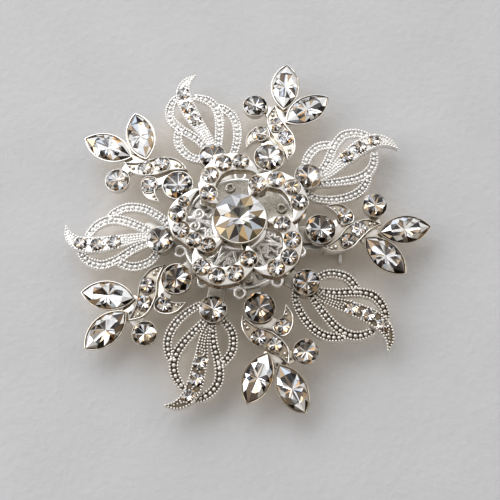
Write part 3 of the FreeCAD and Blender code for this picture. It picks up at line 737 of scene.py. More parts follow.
# painted shade: the tangs take a darker grey for the shade under the castings
TANG = silver("silver_tang", (0.66, 0.645, 0.61), (0.36, 0.33, 0.28), rough=(0.26, 0.42), ao_mm=1.2,
              far_shade=((0.50, 0.46, 0.40), (0.24, 0.20, 0.15)))
LACE = silver("silver_lace", (1.0, 0.99, 0.975), (0.72, 0.69, 0.64), rough=(0.24, 0.40), bump=0.12, ao_mm=0.6)
PLATE = silver("silver_plate", (0.80, 0.775, 0.71), (0.46, 0.42, 0.34), rough=(0.20, 0.36), bump=0.12, ao_mm=1.2)
BACK = silver("silver_back", (0.78, 0.765, 0.73), (0.50, 0.475, 0.43), rough=(0.30, 0.44), bump=0.08)
STEEL = silver("pin_steel", (0.72, 0.72, 0.72), (0.35, 0.35, 0.35), rough=(0.12, 0.26), grain=2600.0)
GLASS, FOILM, FACET = glass(), foil("crystal_foil", 0.0), foil("crystal_facet", 0.3)
GEM = [GLASS, FOILM, FACET]


def keep(ob, body, slot, *replaced):
    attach(ob, body)
    if replaced:
        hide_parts(*replaced)
    return ob


# ---------------------------------------------------------------- rivet places
def world_xy(x, y, base, i, st):
    p = to_world(np.array([[x, y, 0.0]]), base, i, st)[0]
    return float(p[0]), float(p[1])


def rivet_at(base, i, st, at, skew):
    px, py = world_xy(at[0], at[1], base, i, st)
    a = math.atan2(py, px) + math.radians(skew)
    return RIVET_RING * math.cos(a), RIVET_RING * math.sin(a)


flower_rivets = [rivet_at(FLOWER_BASE, i, FLOWER_SET[i], (0.0, FLOWER_Y), -4.0) for i in range(5)]
leaf_rivets = [rivet_at(LEAF_BASE, i, LEAF_SET[i], LEAF_CUP[i], -8.0) for i in range(5)]


def stadium(p, q, w, n=10):
    """Outline of a flat arm from p to a rounded end about q."""
    a = math.atan2(p[1] - q[1], p[0] - q[0])
    out = [(p[0] + w * math.cos(a - math.pi / 2), p[1] + w * math.sin(a - math.pi / 2)),
           (p[0] + w * math.cos(a + math.pi / 2), p[1] + w * math.sin(a + math.pi / 2))]
    for s in range(n + 1):
        t = a + math.pi / 2 + math.pi * s / n
        out.append((q[0] + w * math.cos(t), q[1] + w * math.sin(t)))
    return np.array(out)


def add_tang(mesh, p, q, mat):
    t = Mesh()
    stack(t, stadium(p, q, 1.75), [(0.0, -2.19 + Z0), (0.0, -1.52 + Z0), (0.04, -1.44 + Z0), (0.12, -1.41 + Z0)], mat=mat)
    mesh.include(t)


# ---------------------------------------------------------------- leaf sprays
LEAF_STRIPS = [
    [(-1.9, 17.9, 0.85), (-4.5, 19.5, 0.95), (-5.85, 22.6, 1.0), (-5.3, 25.2, 0.95), (-4.4, 26.2, 0.85)],
    [(-0.35, 19.6, 0.8), (-2.06, 23.0, 0.95), (-4.3, 26.0, 1.0), (-5.65, 29.0, 1.05), (-5.2, 31.5, 1.0),
     (-3.9, 33.3, 0.9), (-2.6, 34.0, 0.8)],
    [(1.1, 18.6, 0.8), (2.85, 22.8, 0.95), (3.95, 26.5, 1.05), (3.85, 29.1, 1.05), (2.75, 31.2, 1.0),
     (0.9, 32.6, 0.85)],
    [(1.9, 15.9, 0.8), (3.8, 17.0, 0.85), (5.7, 19.8, 0.95), (6.7, 22.9, 1.0), (6.6, 25.7, 1.0), (5.4, 28.0, 0.9),
     (4.6, 28.7, 0.8)],
]
PLUME = [(0.2, 19.4, 0.9), (0.35, 21.3, 0.95), (0.0, 23.4, 1.1), (-0.6, 25.6, 1.35), (-1.15, 28.0, 1.55),
         (-1.6, 30.6, 1.68), (-1.65, 33.0, 1.66), (-1.1, 35.1, 1.4), (0.3, 36.7, 0.9), (2.1, 37.4, 0.25)]
PLUME_STONES = [(-1.0, 27.2, PLUME_R), (-1.6, 30.6, PLUME_R), (-1.5, 34.0, PLUME_TIP_R)]
# across (half widths), up (mm): a deep channel between two raised edges
STRIP_SECTION = [(-0.84, -1.24), (0.84, -1.24), (1.0, -1.05), (1.0, -0.40), (0.90, -0.26), (0.64, -0.30),
                 (0.50, -0.62), (-0.50, -0.62), (-0.64, -0.30), (-0.90, -0.26), (-1.0, -0.40), (-1.0, -1.05)]
STRIP_MATS = [0, 0, 0, 0, 0, 1, 1, 1, 0, 0, 0, 0]
EDGE_R, EDGE_PITCH = 0.285, 0.62
MID_R, MID_PITCH = 0.44, 1.06


def side_beads(mesh, line, z=-0.20, r=EDGE_R, pitch=EDGE_PITCH, both=(-1, 1)):
    """A row of small beads along each edge of a band (x, y, half width)."""
    n = normals2(line)
    for side in both:
        edge = line[:, :2] + n * side * (line[:, 2:3] - r * 0.90)
        row = resample(edge, pitch)
        up = np.full(len(row), z) + rng.normal(0, 0.012, len(row))
        beads(mesh, np.column_stack([row, up]), r * (1 + rng.normal(0, 0.04, len(row))))


def strip_outline(path, n=5):
    pts = catmull(path, n)
    nn = normals2(pts)
    left = pts[:, :2] + nn * pts[:, 2:3]
    right = pts[:, :2] - nn * pts[:, 2:3]
    out = list(left)
    for end, start, (x, y, w) in ((left[-1], right[::-1], pts[-1]), (right[0], [], pts[0])):
        a0 = math.atan2(end[1] - y, end[0] - x)
        out += [(x + w * math.cos(a0 - math.pi * s / 6), y + w * math.sin(a0 - math.pi * s / 6))
                for s in range(1, 6)]
        out += list(start)
    return np.array(out)


bands = Mesh()
for path in LEAF_STRIPS:
    line = catmull(path, 9)
    band(bands, line, STRIP_SECTION, STRIP_MATS)
    side_beads(bands, line)
    row = resample(line, MID_PITCH)
    for x, y, w in row:
        beads(bands, [(x, y, -0.34 + rng.normal(0, 0.015))], MID_R * (0.86 + 0.14 * w), flat=0.95, ball=BALL_MID)

PLUME_GROW, PAVE_GROW = 1.14, 1.08
plume = Mesh()
holes = [(x, y, r + 0.03, 0.05, -1.3) for x, y, r in PLUME_STONES]
stack(plume, strip_outline(PLUME), [(0.05, -1.55), (0.0, -1.45), (0.0, -0.36), (0.06, -0.28), (0.14, -0.26)], holes, tray=1)
pl = catmull(PLUME, 8)
side_beads(plume, pl[2:], z=-0.10, r=0.27, pitch=0.60)


def plume_at(y):
    k = np.interp(y, pl[:, 1], np.arange(len(pl)))
    i = int(min(k, len(pl) - 2))
    f = k - i
    return pl[i] * (1 - f) + pl[i + 1] * f


# rows of beads across the lower part, and the grains that hold each stone
rows = []
y = 20.3
while y < 25.75:
    x, _, w = plume_at(y)
    inner = w - 0.58
    count = max(1, int(round(2 * inner / 0.52)))
    for q in range(count):
        rows.append((x + (q - (count - 1) / 2) * 0.52, y + 0.04 * (q % 2), -0.20))
    y += 0.56
beads(plume, rows, 0.27)
grains = []
for x, y, r in PLUME_STONES:
    for a in (38, 90, 142, 218, 270, 322):
        t = math.radians(a)
        q = r * PLUME_GROW + 0.10
        grains.append((x + q * math.cos(t), y + q * math.sin(t), -0.07))
beads(plume, grains, 0.24, ball=BALL_MID)
beads(plume, [(-0.55, 35.85, -0.12), (0.05, 36.3, -0.14), (0.6, 36.75, -0.16), (-1.0, 35.55, -0.12),
              (-0.2, 35.6, -0.14)], 0.25)


def cup_mesh(r, z, bottom, wall, lip, pav, segs=44, claws=0):
    """A stone cup: a flared wall turned over the edge of the stone."""
    m = Mesh()
    lathe(m, [(0.0, bottom), (r - 0.30, bottom), (r - 0.16, bottom + 0.10), (r - 0.05, z - 0.85), (r + wall * 0.8, z - 0.45),
              (r + wall, z - 0.20), (r + wall, z + 0.02), (r + wall * 0.8, z + lip * 0.8), (r + wall * 0.3, z + lip),
              (r - 0.05, z + lip * 0.95), (r - 0.08, z + lip * 0.7), (r + 0.015, z + 0.06), (r + 0.03, z - 0.10),
              (0.25 * r, z - 0.14 - pav), (0.0, z - 0.14 - pav)], segs=segs, mat=3)
    return m


base_cup = cup_mesh(LEAF_R, LEAF_GIRDLE, -1.95, 0.08, 0.06, 1.75)
base_gem = gem(LEAF_R, 0.70, 0.52, table=0.66, mid=0.85, low=0.22)
plume_gem = gem(PLUME_R * PLUME_GROW, 0.34, 0.25, table=0.64, mid=0.84, low=0.22)
tip_gem = gem(PLUME_TIP_R * PLUME_GROW, 0.32, 0.23, table=0.64, mid=0.84, low=0.22)
base_stones, plume_stones, tip_stones = Mesh(), Mesh(), Mesh()
for i, st in enumerate(LEAF_SET):
    one = Mesh()
    cx, cy = LEAF_CUP[i]
    one.include(bands, lambda c: to_world(drop(STRIP_BEND)(c), LEAF_BASE, i, st))
    one.include(plume, lambda c: to_world(drop(PLUME_BEND)(c), LEAF_BASE, i, st))
    one.include(base_cup, lambda c: to_world(moved(c, cx, cy), LEAF_BASE, i, st))
    add_tang(one, world_xy(cx, cy, LEAF_BASE, i, st), leaf_rivets[i], 2)
    keep(one.build("leaf_casting_%d" % (i + 1), [MILGRAIN, CHANNEL, TANG, SEAT], sharp=50), "burst", "milgrain_metal",
         "leaf_spray_%d" % (i + 1))
    g = Mesh()
    # painted shade: stones on the side turned away from the window get darker painted reflections
    here = far_side(*world_xy(cx, cy, LEAF_BASE, i, st))
    base_gem.tint = facet_reflections(8, 0.48 - 0.22 * here)
    sp = rng.uniform(0, 0.8)
    g.include(base_gem, lambda c: moved(c, cx, cy, LEAF_GIRDLE, spin=sp))
    base_stones.include(g, lambda c: to_world(c, LEAF_BASE, i, st))
    for k, (x, y, r) in enumerate(PLUME_STONES):
        src = tip_gem if k == 2 else plume_gem
        src.tint = facet_reflections(8, 0.52 - 0.22 * here)
        slope = -math.asin(max(y - FLAT_Y, 0) / PLUME_BEND)
        sp = rng.uniform(0, 0.8)
        g = Mesh()
        g.include(src, lambda c: moved(c, x, y, float(bend_top(y, PLUME_BEND)) - 0.04, spin=sp, tilt=slope))
        (tip_stones if k == 2 else plume_stones).include(g, lambda c: to_world(c, LEAF_BASE, i, st))
keep(base_stones.build("leaf_base_crystals", GEM, tint=True), "burst", "crystal", "leaf_base_stones")
keep(plume_stones.build("plume_crystals", GEM, tint=True), "burst", "crystal", "plume_stones")
keep(tip_stones.build("plume_tip_crystals", GEM, tint=True), "burst", "crystal", "plume_tip_stones")

# ---------------------------------------------------------------- flower sprays
S_LEAF = [(-2.0, 28.6), (-0.6, 26.3), (1.2, 24.6), (3.3, 22.8), (4.4, 20.5), (4.5, 18.5),
          (3.75, 16.6), (3.1, 17.8), (1.6, 19.7), (-0.8, 21.5), (-2.4, 23.8), (-2.9, 26.0)]
CRESCENT = [(-5.1, 17.0), (-5.75, 19.4), (-5.1, 21.5), (-3.6, 22.9), (-2.0, 22.7),
            (-1.2, 20.9), (-2.3, 20.15), (-4.0, 18.9)]
WEB = [(-3.6, 26.2), (-2.4, 25.6), (-0.8, 25.6), (1.0, 24.4), (2.2, 25.2), (1.8, 26.9),
       (0.4, 28.9), (-0.6, 29.6), (-2.0, 28.7), (-3.6, 28.2)]
WEB2 = [(-2.6, 19.2), (-1.2, 18.2), (2.4, 18.0), (3.4, 18.4), (2.2, 20.2), (-0.4, 22.0), (-2.2, 22.2), (-3.0, 20.6)]
S_PAVE = [(-0.7, 24.1), (2.0, 21.8)]
C_PAVE = [(-3.3, 21.1)]
SMALL_AT = (-6.0, 27.2)
NAVETTES = [(-1.2, 33.4, 11.0), (4.6, 29.4, -39.8)]

RIM = [(0.02, CAST_Z0), (0.0, CAST_Z0 + 0.08), (0.0, -0.02), (0.03, 0.07), (0.10, 0.11), (0.18, 0.08), (0.23, -0.02),
       (0.25, -0.34), (0.32, -0.42)]
flower = Mesh()
stack(flower, closed_smooth(S_LEAF, corners=(0, 6)), RIM,
      [(x, y, PAVE_R + 0.03, 0.04, -1.5) for x, y in S_PAVE], tray=2)
stack(flower, closed_smooth(CRESCENT, corners=(0,)), RIM,
      [(x, y, PAVE_R + 0.03, 0.04, -1.5) for x, y in C_PAVE], tray=2)
stack(flower, closed_smooth(WEB, n=3), [(0.0, CAST_Z0), (0.0, CAST_Z0 + 0.7), (0.06, CAST_Z0 + 0.84), (0.16, CAST_Z0 + 0.9)])
stack(flower, closed_smooth(WEB2, n=3), [(0.0, CAST_Z0), (0.0, CAST_Z0 + 0.6), (0.06, CAST_Z0 + 0.74), (0.16, CAST_Z0 + 0.8)])
flower.include(cup_mesh(BIG_R, 0.0, -2.2, 0.10, 0.08, 2.0, segs=48), lambda c: moved(c, 0.0, FLOWER_Y))
flower.include(cup_mesh(SMALL_R, 0.0, -1.75, 0.08, 0.06, 1.55), lambda c: moved(c, *SMALL_AT))
# collars round the pave stones and the grains between them
for x, y in S_PAVE + C_PAVE:
    q = PAVE_R * PAVE_GROW
    ring = [(q + 0.03, CAST_Z1 - 0.25), (q + 0.09, CAST_Z1 - 0.25), (q + 0.085, CAST_Z1 + 0.0),
            (q + 0.05, CAST_Z1 + 0.05), (q + 0.01, CAST_Z1 + 0.05), (q + 0.0, CAST_Z1 - 0.02), (q + 0.02, CAST_Z1 - 0.10)]
    lathe(flower, ring, x, y, segs=32, closed=True)
beads(flower, [(3.45, 19.35, -0.2), (3.75, 18.5, -0.22), (3.7, 17.75, -0.24), (-1.95, 26.3, -0.22), (-2.05, 27.2, -0.24),
               (-4.6, 19.0, -0.22), (-4.85, 18.2, -0.24)], [0.42, 0.34, 0.24, 0.38, 0.26, 0.34, 0.24], ball=BALL_FINE)


def lens_outline(off, n=14):
    rr = (NAV_L ** 2 + NAV_W ** 2) / (4 * NAV_W)
    c = rr - NAV_W / 2
    r = rr + off
    a = math.acos(c / r)
    right = [(-c + r * math.cos(t), r * math.sin(t)) for t in np.linspace(-a, a, n + 1)]
    left = [(c - r * math.cos(t), r * math.sin(t)) for t in np.linspace(a, -a, n + 1)]
    return np.array(right[:-1] + left[:-1])


def spun(pts, deg, x, y):
    c, s = math.cos(math.radians(deg)), math.sin(math.radians(deg))
    return np.column_stack([pts[:, 0] * c - pts[:, 1] * s + x, pts[:, 0] * s + pts[:, 1] * c + y])


def rings_solid(mesh, rings, mat=0):
    """Join stacked outlines [(outline, z)] of equal count into a closed solid."""
    k = len(rings[0][0])
    co = np.vstack([np.column_stack([o, np.full(k, z)]) for o, z in rings])
    faces = []
    for a in range(len(rings) - 1):
        for i in range(k):
            j = (i + 1) % k
            faces.append((a * k + i, a * k + j, (a + 1) * k + j, (a + 1) * k + i))
    faces.append(tuple(range(k))[::-1])
    faces.append(tuple((len(rings) - 1) * k + i for i in range(k)))
    mesh.add(co, faces, mat)


for x, y, a in NAVETTES:
    prof = [(-0.9, -1.75), (0.20, -0.85), (0.38, -0.40), (0.40, -0.10), (0.39, 0.04), (0.36, 0.09), (0.27, 0.10),
            (0.21, 0.06), (0.19, -0.06), (0.18, -0.42), (0.04, -0.42), (0.02, -0.16), (-1.5, -1.65)]
    rings_solid(flower, [(spun(lens_outline(o), a, x, y), z) for o, z in prof], mat=4)
flower_sloped = Mesh()
flower_sloped.include(flower, flower_slope)

big_gem = gem(BIG_R, 0.80, 0.60, table=0.64, k=8, mid=0.84, low=0.22)
small_gem = gem(SMALL_R, 0.64, 0.48, table=0.66, mid=0.85, low=0.22)
pave_gem = gem(PAVE_R * PAVE_GROW, 0.40, 0.29, table=0.64, mid=0.84, low=0.22)
nav_gem = gem(1.0, 0.62, 0.50, table=0.60, k=8, mid=0.82, low=0.24, shape=lens_radius(NAV_L, NAV_W))
big, small, pave, nav = Mesh(), Mesh(), Mesh(), Mesh()
for i, st in enumerate(FLOWER_SET):
    one = Mesh()
    one.include(flower_sloped, lambda c: to_world(c, FLOWER_BASE, i, st))
    add_tang(one, world_xy(0, FLOWER_Y, FLOWER_BASE, i, st), flower_rivets[i], 1)
    keep(one.build("flower_casting_%d" % (i + 1), [POLISHED, TANG, TRAY, SEAT, RIMM], sharp=40), "burst", "polished_metal",
         "flower_spray_%d" % (i + 1))

    def put(target, src, x, y, z=0.0, spin=0.0, bright=0.46, fall=0.26):
        # painted shade: bright sets the painted reflections, and fall darkens them on the side turned away from the
        # window
        src.tint = facet_reflections(8, bright - fall * far_side(*world_xy(x, y, FLOWER_BASE, i, st)))
        target.include(src, lambda c: to_world(flower_slope(moved(c, x, y, z, spin=spin)), FLOWER_BASE, i, st))

    put(big, big_gem, 0, FLOWER_Y, spin=rng.uniform(0, 0.8), bright=0.50, fall=0.52)
    put(small, small_gem, *SMALL_AT, spin=rng.uniform(0, 0.8))
    for x, y in S_PAVE + C_PAVE:
        put(pave, pave_gem, x, y, CAST_Z1, spin=rng.uniform(0, 0.8))
    for x, y, a in NAVETTES:
        put(nav, nav_gem, x, y, 0.0, spin=math.radians(a), bright=0.74)
keep(big.build("flower_large_crystals", GEM, tint=True), "burst", "crystal", "flower_large_stones")
keep(small.build("flower_small_crystals", GEM, tint=True), "burst", "crystal", "flower_small_stones")
keep(pave.build("flower_pave_crystals", GEM, tint=True), "burst", "crystal", "flower_pave_stones")
keep(nav.build("navette_crystals", GEM, tint=True), "burst", "crystal", "navette_stones")

# ---------------------------------------------------------------- pinwheel tier
ARM_PATH = [((-3.75, 4.35), 0.38), ((-4.65, 5.35), 1.1), ((-5.06, 6.45), 1.80),
            ((-4.95, 8.4), 1.62), ((-4.03, 10.23), 1.92), ((-2.7, 11.5), 1.86),
            ((-1.07, 12.25), 1.95), ((0.7, 12.35), 1.84), ((2.43, 11.95), 1.76),
            ((4.1, 10.75), 1.05), ((5.0, 9.4), 0.42), ((5.25, 8.55), 0.16)]
ARM_STONES = [(-5.06, 6.6, WHEEL_R), (-4.03, 10.3, WHEEL_R), (-1.04, 12.3, WHEEL_R), (2.40, 12.0, WHEEL_R)]
# one arm is longer at its root and carries a fifth, smaller stone
LONG_ARM = 3
LONG_PATH = [((-4.3, 2.9), 0.38), ((-5.3, 4.1), 1.1), ((-6.0, 5.45), 1.66),
             ((-5.85, 6.8), 1.45), ((-5.35, 8.3), 1.74), ((-4.6, 9.8), 1.62), ((-3.55, 11.15), 1.88),
             ((-2.1, 12.0), 1.74), ((-0.5, 12.35), 1.88), ((1.0, 12.15), 1.6), ((2.35, 11.45), 1.35),
             ((3.8, 10.5), 0.9), ((5.0, 9.4), 0.42), ((5.25, 8.55), 0.16)]
LONG_STONES = [(-6.0, 5.40, 1.36), (-5.35, 8.3, 1.44), (-3.5, 11.1, WHEEL_R), (-0.35, 12.3, WHEEL_R),
               (2.35, 11.4, 1.0)]


def wheel_turn(co, k):
    a = math.radians(WHEEL_ANGLE - 72.0 * k)
    return np.column_stack([co[:, 0] * math.sin(a) + co[:, 1] * math.cos(a),
                            -co[:, 0] * math.cos(a) + co[:, 1] * math.sin(a), co[:, 2] + Z0])


GROW = 1.07


def wheel_arm(path, stones):
    arm = Mesh()
    stack(arm, strip_outline([(p[0], p[1], w) for p, w in path], 5),
          [(0.10, ARM_Z0), (0.0, ARM_Z0 + 0.12), (0.03, ARM_Z0 + 1.1), (0.0, ARM_Z1 - 0.20), (0.03, ARM_Z1 - 0.10),
           (0.09, ARM_Z1 - 0.03), (0.18, ARM_Z1)],
          [(x, y, r + 0.03, 0.05, ARM_Z1 - 1.5) for x, y, r in stones], walls=4)
    for x, y, r in stones:
        q = r * GROW + 0.08
        lathe(arm, [(q, ARM_Z1 - 0.06), (q + 0.09, ARM_Z1 - 0.06), (q + 0.085, ARM_Z1 + 0.02), (q + 0.05, ARM_Z1 + 0.05),
                    (q + 0.01, ARM_Z1 + 0.03)], x, y, segs=36, closed=True)
        # the seat, in the wall colour: painted shade between the stone and its collar
        lathe(arm, [(q - 0.14, ARM_Z1 - 0.06), (q + 0.03, ARM_Z1 - 0.06), (q + 0.03, ARM_Z1 + 0.012),
                    (q - 0.14, ARM_Z1 + 0.012)], x, y, segs=36, mat=1, closed=True)
    stack(arm, strip_outline([(-2.6, 3.3, 0.8), (-3.75, 4.5, 0.9), (-4.7, 5.9, 1.2)], 4),
          [(0.0, 3.3), (0.0, 4.5), (0.1, 4.65)])
    return arm


plain_arm, long_arm = wheel_arm(ARM_PATH, ARM_STONES), wheel_arm(LONG_PATH, LONG_STONES)
wheel, wheel_stones = Mesh(), Mesh()
for k in range(5):
    wheel.include(long_arm if k == LONG_ARM else plain_arm, lambda c: wheel_turn(c, k))
    for x, y, r in (LONG_STONES if k == LONG_ARM else ARM_STONES):
        wheel_gem = gem(r * GROW, 0.42, 0.31, table=0.64, mid=0.84, low=0.22)
        px, py, _ = wheel_turn(np.array([[x, y, 0.0]]), k)[0]
        # painted shade: stones on the side turned away from the window get darker painted reflections
        wheel_gem.tint = facet_reflections(8, 0.46 - 0.18 * far_side(2 * px, 2 * py))
        sp = rng.uniform(0, 0.8)
        wheel_stones.include(wheel_gem, lambda c: wheel_turn(moved(c, x, y, ARM_Z1, spin=sp), k))
lathe(wheel, [(1.05, 3.2 + Z0), (5.35, 3.2 + Z0), (5.55, 3.3 + Z0), (5.6, 3.45 + Z0), (5.6, 4.15 + Z0),
              (5.5, 4.33 + Z0), (5.3, 4.4 + Z0), (1.05, 4.4 + Z0)], segs=72, closed=True)
keep(wheel.build("pinwheel_casting", [WHEEL, WALL], sharp=40), "burst", "polished_metal", "pinwheel_tier")
keep(wheel_stones.build("pinwheel_crystals", GEM, tint=True), "burst", "crystal", "pinwheel_stones")

# ---------------------------------------------------------------- centre
cg = 7.6 + Z0
R = CENTRE_R
cup = Mesh()
lathe(cup, [(0.0, 4.42 + Z0), (3.3, 4.42 + Z0), (3.45, 4.55 + Z0), (5.20, cg - 0.55), (5.26, cg - 0.4), (5.26, cg - 0.02),
            (5.23, cg + 0.08), (5.17, cg + 0.13), (5.08, cg + 0.12), (5.06, cg + 0.09), (5.135, cg + 0.03),
            (5.15, cg - 0.12), (1.2, cg - 2.95), (0.0, cg - 2.95)], segs=96)
keep(cup.build("centre_bezel", [SEAT], sharp=40), "burst", "polished_metal", "centre_cup")
cs = Mesh()
centre_gem = gem(R, 1.45, 0.95, table=0.38, k=8, mid=0.72, low=0.40)
W, PALE, ICE, GREY = (0.95, 0.95, 0.96), (0.72, 0.71, 0.73), (0.50, 0.56, 0.66), (0.30, 0.29, 0.27)
OLIVE, BROWN, GOLD, AMBER = (0.22, 0.205, 0.14), (0.36, 0.27, 0.165), (0.60, 0.47, 0.29), (0.70, 0.40, 0.21)
DUSK, INK, SHELL = (0.13, 0.10, 0.07), (0.045, 0.04, 0.037), (0.40, 0.41, 0.43)
# painted reflections on the facets, from the right, turning left: halves and mains under the table, then kites and
# halves round the crown
for j, cut in enumerate([
        (GREY, DUSK, PALE, GREY, BROWN, W, PALE, W), (DUSK, OLIVE, GREY, OLIVE, GOLD, BROWN, PALE, SHELL),
        (OLIVE, INK, DUSK, GREY, PALE, SHELL, SHELL, SHELL), (OLIVE, BROWN, BROWN, OLIVE, SHELL, GREY, DUSK, BROWN),
        (GREY, W, PALE, W, SHELL, DUSK, BROWN, OLIVE), (W, OLIVE, W, PALE, GOLD, INK, PALE, BROWN),
        (W, DUSK, PALE, W, GOLD, ICE, OLIVE, GOLD), (PALE, INK, W, OLIVE, ICE, INK, DUSK, W)]):
    b = 57 + 4 * j
    centre_gem.tint[b:b + 4] = cut[:4]
    b = 2 + 5 * j
    centre_gem.tint[b:b + 4] = cut[4:]
cs.include(centre_gem, lambda c: moved(c, 0, 0, cg, spin=0.35))
keep(cs.build("centre_crystal", GEM, tint=True), "burst", "crystal", "centre_stone")

# ---------------------------------------------------------------- lace plate
lz = -1.10 + Z0
lace = Mesh()


def polar(r, deg):
    a = math.radians(deg)
    return (r * math.cos(a), r * math.sin(a))


def ring_path(cx, cy, r, n=28, z=lz):
    a = np.linspace(0, 2 * math.pi, n, endpoint=False)
    return np.column_stack([cx + r * np.cos(a), cy + r * np.sin(a), np.full(n, z)])


tube(lace, ring_path(0, 0, 11.5, 140), 0.36, 0.29, closed=True)
tube(lace, ring_path(0, 0, 3.3, 60), 0.5, 0.29, closed=True)
for k in range(10):
    a = 18 + 36 * k
    x, y = polar(12.55, a)
    tube(lace, ring_path(x, y, 1.03, 30), 0.32, 0.29, closed=True)


def scroll(cx, cy, r0, r1, a0, turns, tail):
    """A spiral about (cx, cy) that runs out along tail points."""
    t = np.linspace(0, 1, int(22 * abs(turns)) + 6)
    rr = r0 + (r1 - r0) * t
    aa = math.radians(a0) + turns * 2 * math.pi * t
    pts = [(cx + r * math.cos(q), cy + r * math.sin(q)) for r, q in zip(rr, aa)]
    if tail:
        pts = pts + [tuple(p) for p in catmull([pts[-1]] + list(tail), 6)[1:]]
    pts = np.array(pts)
    return np.column_stack([pts, np.full(len(pts), lz)])


for k in range(10):
    a = 18 + 36 * k
    plain = -12 < ((a + 180) % 360) - 180 < 128
    if plain:
        continue
    for side in (-1, 1):
        c = polar(9.3, a + side * 8.6)
        tail = [polar(7.6, a + side * 1.5), polar(6.2, a + side * 5.5), polar(4.7, a + side * 14), polar(3.4, a + side * 17)]
        tube(lace, scroll(c[0], c[1], 0.25, 1.25, a + side * 170, side * 1.3, tail), 0.33, 0.28)
        c = polar(6.2, a + side * 14.5)
        tube(lace, scroll(c[0], c[1], 0.2, 0.85, a + side * 40, -side * 1.2, [polar(7.9, a + side * 12)]), 0.3, 0.26)
    drop = np.array([polar(11.2, a), polar(10.5, a + 2.6), polar(9.9, a + 2.2), polar(9.2, a), polar(9.9, a - 2.2), polar(10.5, a - 2.6)])
    stack(lace, closed_smooth(drop, corners=(3,), n=4), [(0.0, lz - 0.25), (0.0, lz + 0.1), (0.08, lz + 0.24), (0.25, lz + 0.3)])
    drop = np.array([polar(7.4, a), polar(6.6, a + 4.4), polar(5.4, a + 3.2), polar(4.6, a), polar(5.4, a - 3.2), polar(6.6, a - 4.4)])
    stack(lace, closed_smooth(drop, corners=(3,), n=4), [(0.0, lz - 0.25), (0.0, lz + 0.1), (0.08, lz + 0.24), (0.25, lz + 0.3)])
# the plain part of the gallery, with a rolled edge
arc = [polar(11.45, t) for t in np.linspace(-2, 130, 60)] + [polar(3.35, t) for t in np.linspace(130, -2, 30)]
stack(lace, np.array(arc), [(0.0, lz - 0.25), (0.0, lz + 0.02), (0.10, lz + 0.12), (0.22, lz + 0.06), (0.34, lz + 0.02)],
      mat=1)
keep(lace.build("filigree_lace", [LACE, PLATE], sharp=45), "burst", "filigree_metal", "filigree_plate")

rivets = Mesh()
top = -0.80 + Z0
for x, y in flower_rivets + leaf_rivets:
    lathe(rivets, [(0.58, -2.95 + Z0), (0.58, top - 0.02), (1.0, top), (1.06, top + 0.12), (1.0, top + 0.30), (0.86, top + 0.42),
                   (0.68, top + 0.44), (0.52, top + 0.34), (0.45, top + 0.1), (0.45, top - 0.3), (0.0, top - 0.3)], x, y, segs=28)
    lathe(rivets, [(0.0, -2.95 + Z0), (0.58, -2.95 + Z0)][::-1], x, y, segs=28)
keep(rivets.build("spray_eyelets", [SEAT], sharp=50), "burst", "back_metal", "spray_rivets")

# ---------------------------------------------------------------- carried-over CAD nodes
for n, m in (("back_plate", BACK), ("centre_post", BACK), ("centre_rivet", BACK), ("pin_bar", BACK),
             ("bar_rivets", BACK), ("hinge_bracket", BACK), ("hinge_rivet", STEEL), ("pin_stem", STEEL),
             ("catch_housing", BACK), ("catch_latch", BACK)):
    o = nodes[n]
    o.data.materials.clear()
    o.data.materials.append(m)

# ---------------------------------------------------------------- floor, light, camera
def paper():
    m, nt, p = tree("paper_floor")
    N, Lk = nt.nodes.new, nt.links.new
    tc = N("ShaderNodeTexCoord")
    a = N("ShaderNodeTexNoise")
    a.inputs["Scale"].default_value = 55.0
    a.inputs["Detail"].default_value = 5.0
    b = N("ShaderNodeTexNoise")
    b.inputs["Scale"].default_value = 620.0
    b.inputs["Detail"].default_value = 6.0
    for t in (a, b):
        Lk(tc.outputs["Object"], t.inputs["Vector"])
    ramp = N("ShaderNodeMix")
    ramp.data_type = "RGBA"
    ramp.inputs["A"].default_value = (0.475, 0.48, 0.493, 1)
    ramp.inputs["B"].default_value = (0.55, 0.555, 0.567, 1)
    Lk(a.outputs["Fac"], ramp.inputs["Factor"])
    # light scattered between the paper and the jewel: warmer and paler where it is covered
    ao = N("ShaderNodeAmbientOcclusion")
    ao.samples = 6
    ao.inputs["Distance"].default_value = 0.016
    warm = N("ShaderNodeMix")
    warm.data_type = "RGBA"
    warm.inputs["A"].default_value = (0.82, 0.745, 0.65, 1)
    open_sky = N("ShaderNodeMapRange")
    open_sky.inputs["From Min"].default_value = 0.30
    open_sky.inputs["From Max"].default_value = 0.73
    Lk(ao.outputs["AO"], open_sky.inputs["Value"])
    Lk(open_sky.outputs[0], warm.inputs["Factor"])
    Lk(ramp.outputs["Result"], warm.inputs["B"])
    Lk(warm.outputs["Result"], p.inputs["Base Color"])
    p.inputs["Roughness"].default_value = 0.92
    add = N("ShaderNodeMath")
    add.operation = "ADD"
    Lk(a.outputs["Fac"], add.inputs[0])
    Lk(b.outputs["Fac"], add.inputs[1])
    bp = N("ShaderNodeBump")
    bp.inputs["Strength"].default_value = 0.35
    bp.inputs["Distance"].default_value = 0.0006
    Lk(add.outputs[0], bp.inputs["Height"])
    Lk(bp.outputs[0], p.inputs["Normal"])
    # one-sided, so that the pin and catch can be looked at from underneath
    geo = N("ShaderNodeNewGeometry")
    clear = N("ShaderNodeBsdfTransparent")
    side = N("ShaderNodeMixShader")
    Lk(geo.outputs["Backfacing"], side.inputs["Fac"])
    Lk(p.outputs[0], side.inputs[1])
    Lk(clear.outputs[0], side.inputs[2])
    for n in nt.nodes:
        if n.type == "OUTPUT_MATERIAL":
            Lk(side.outputs[0], n.inputs["Surface"])
    return m


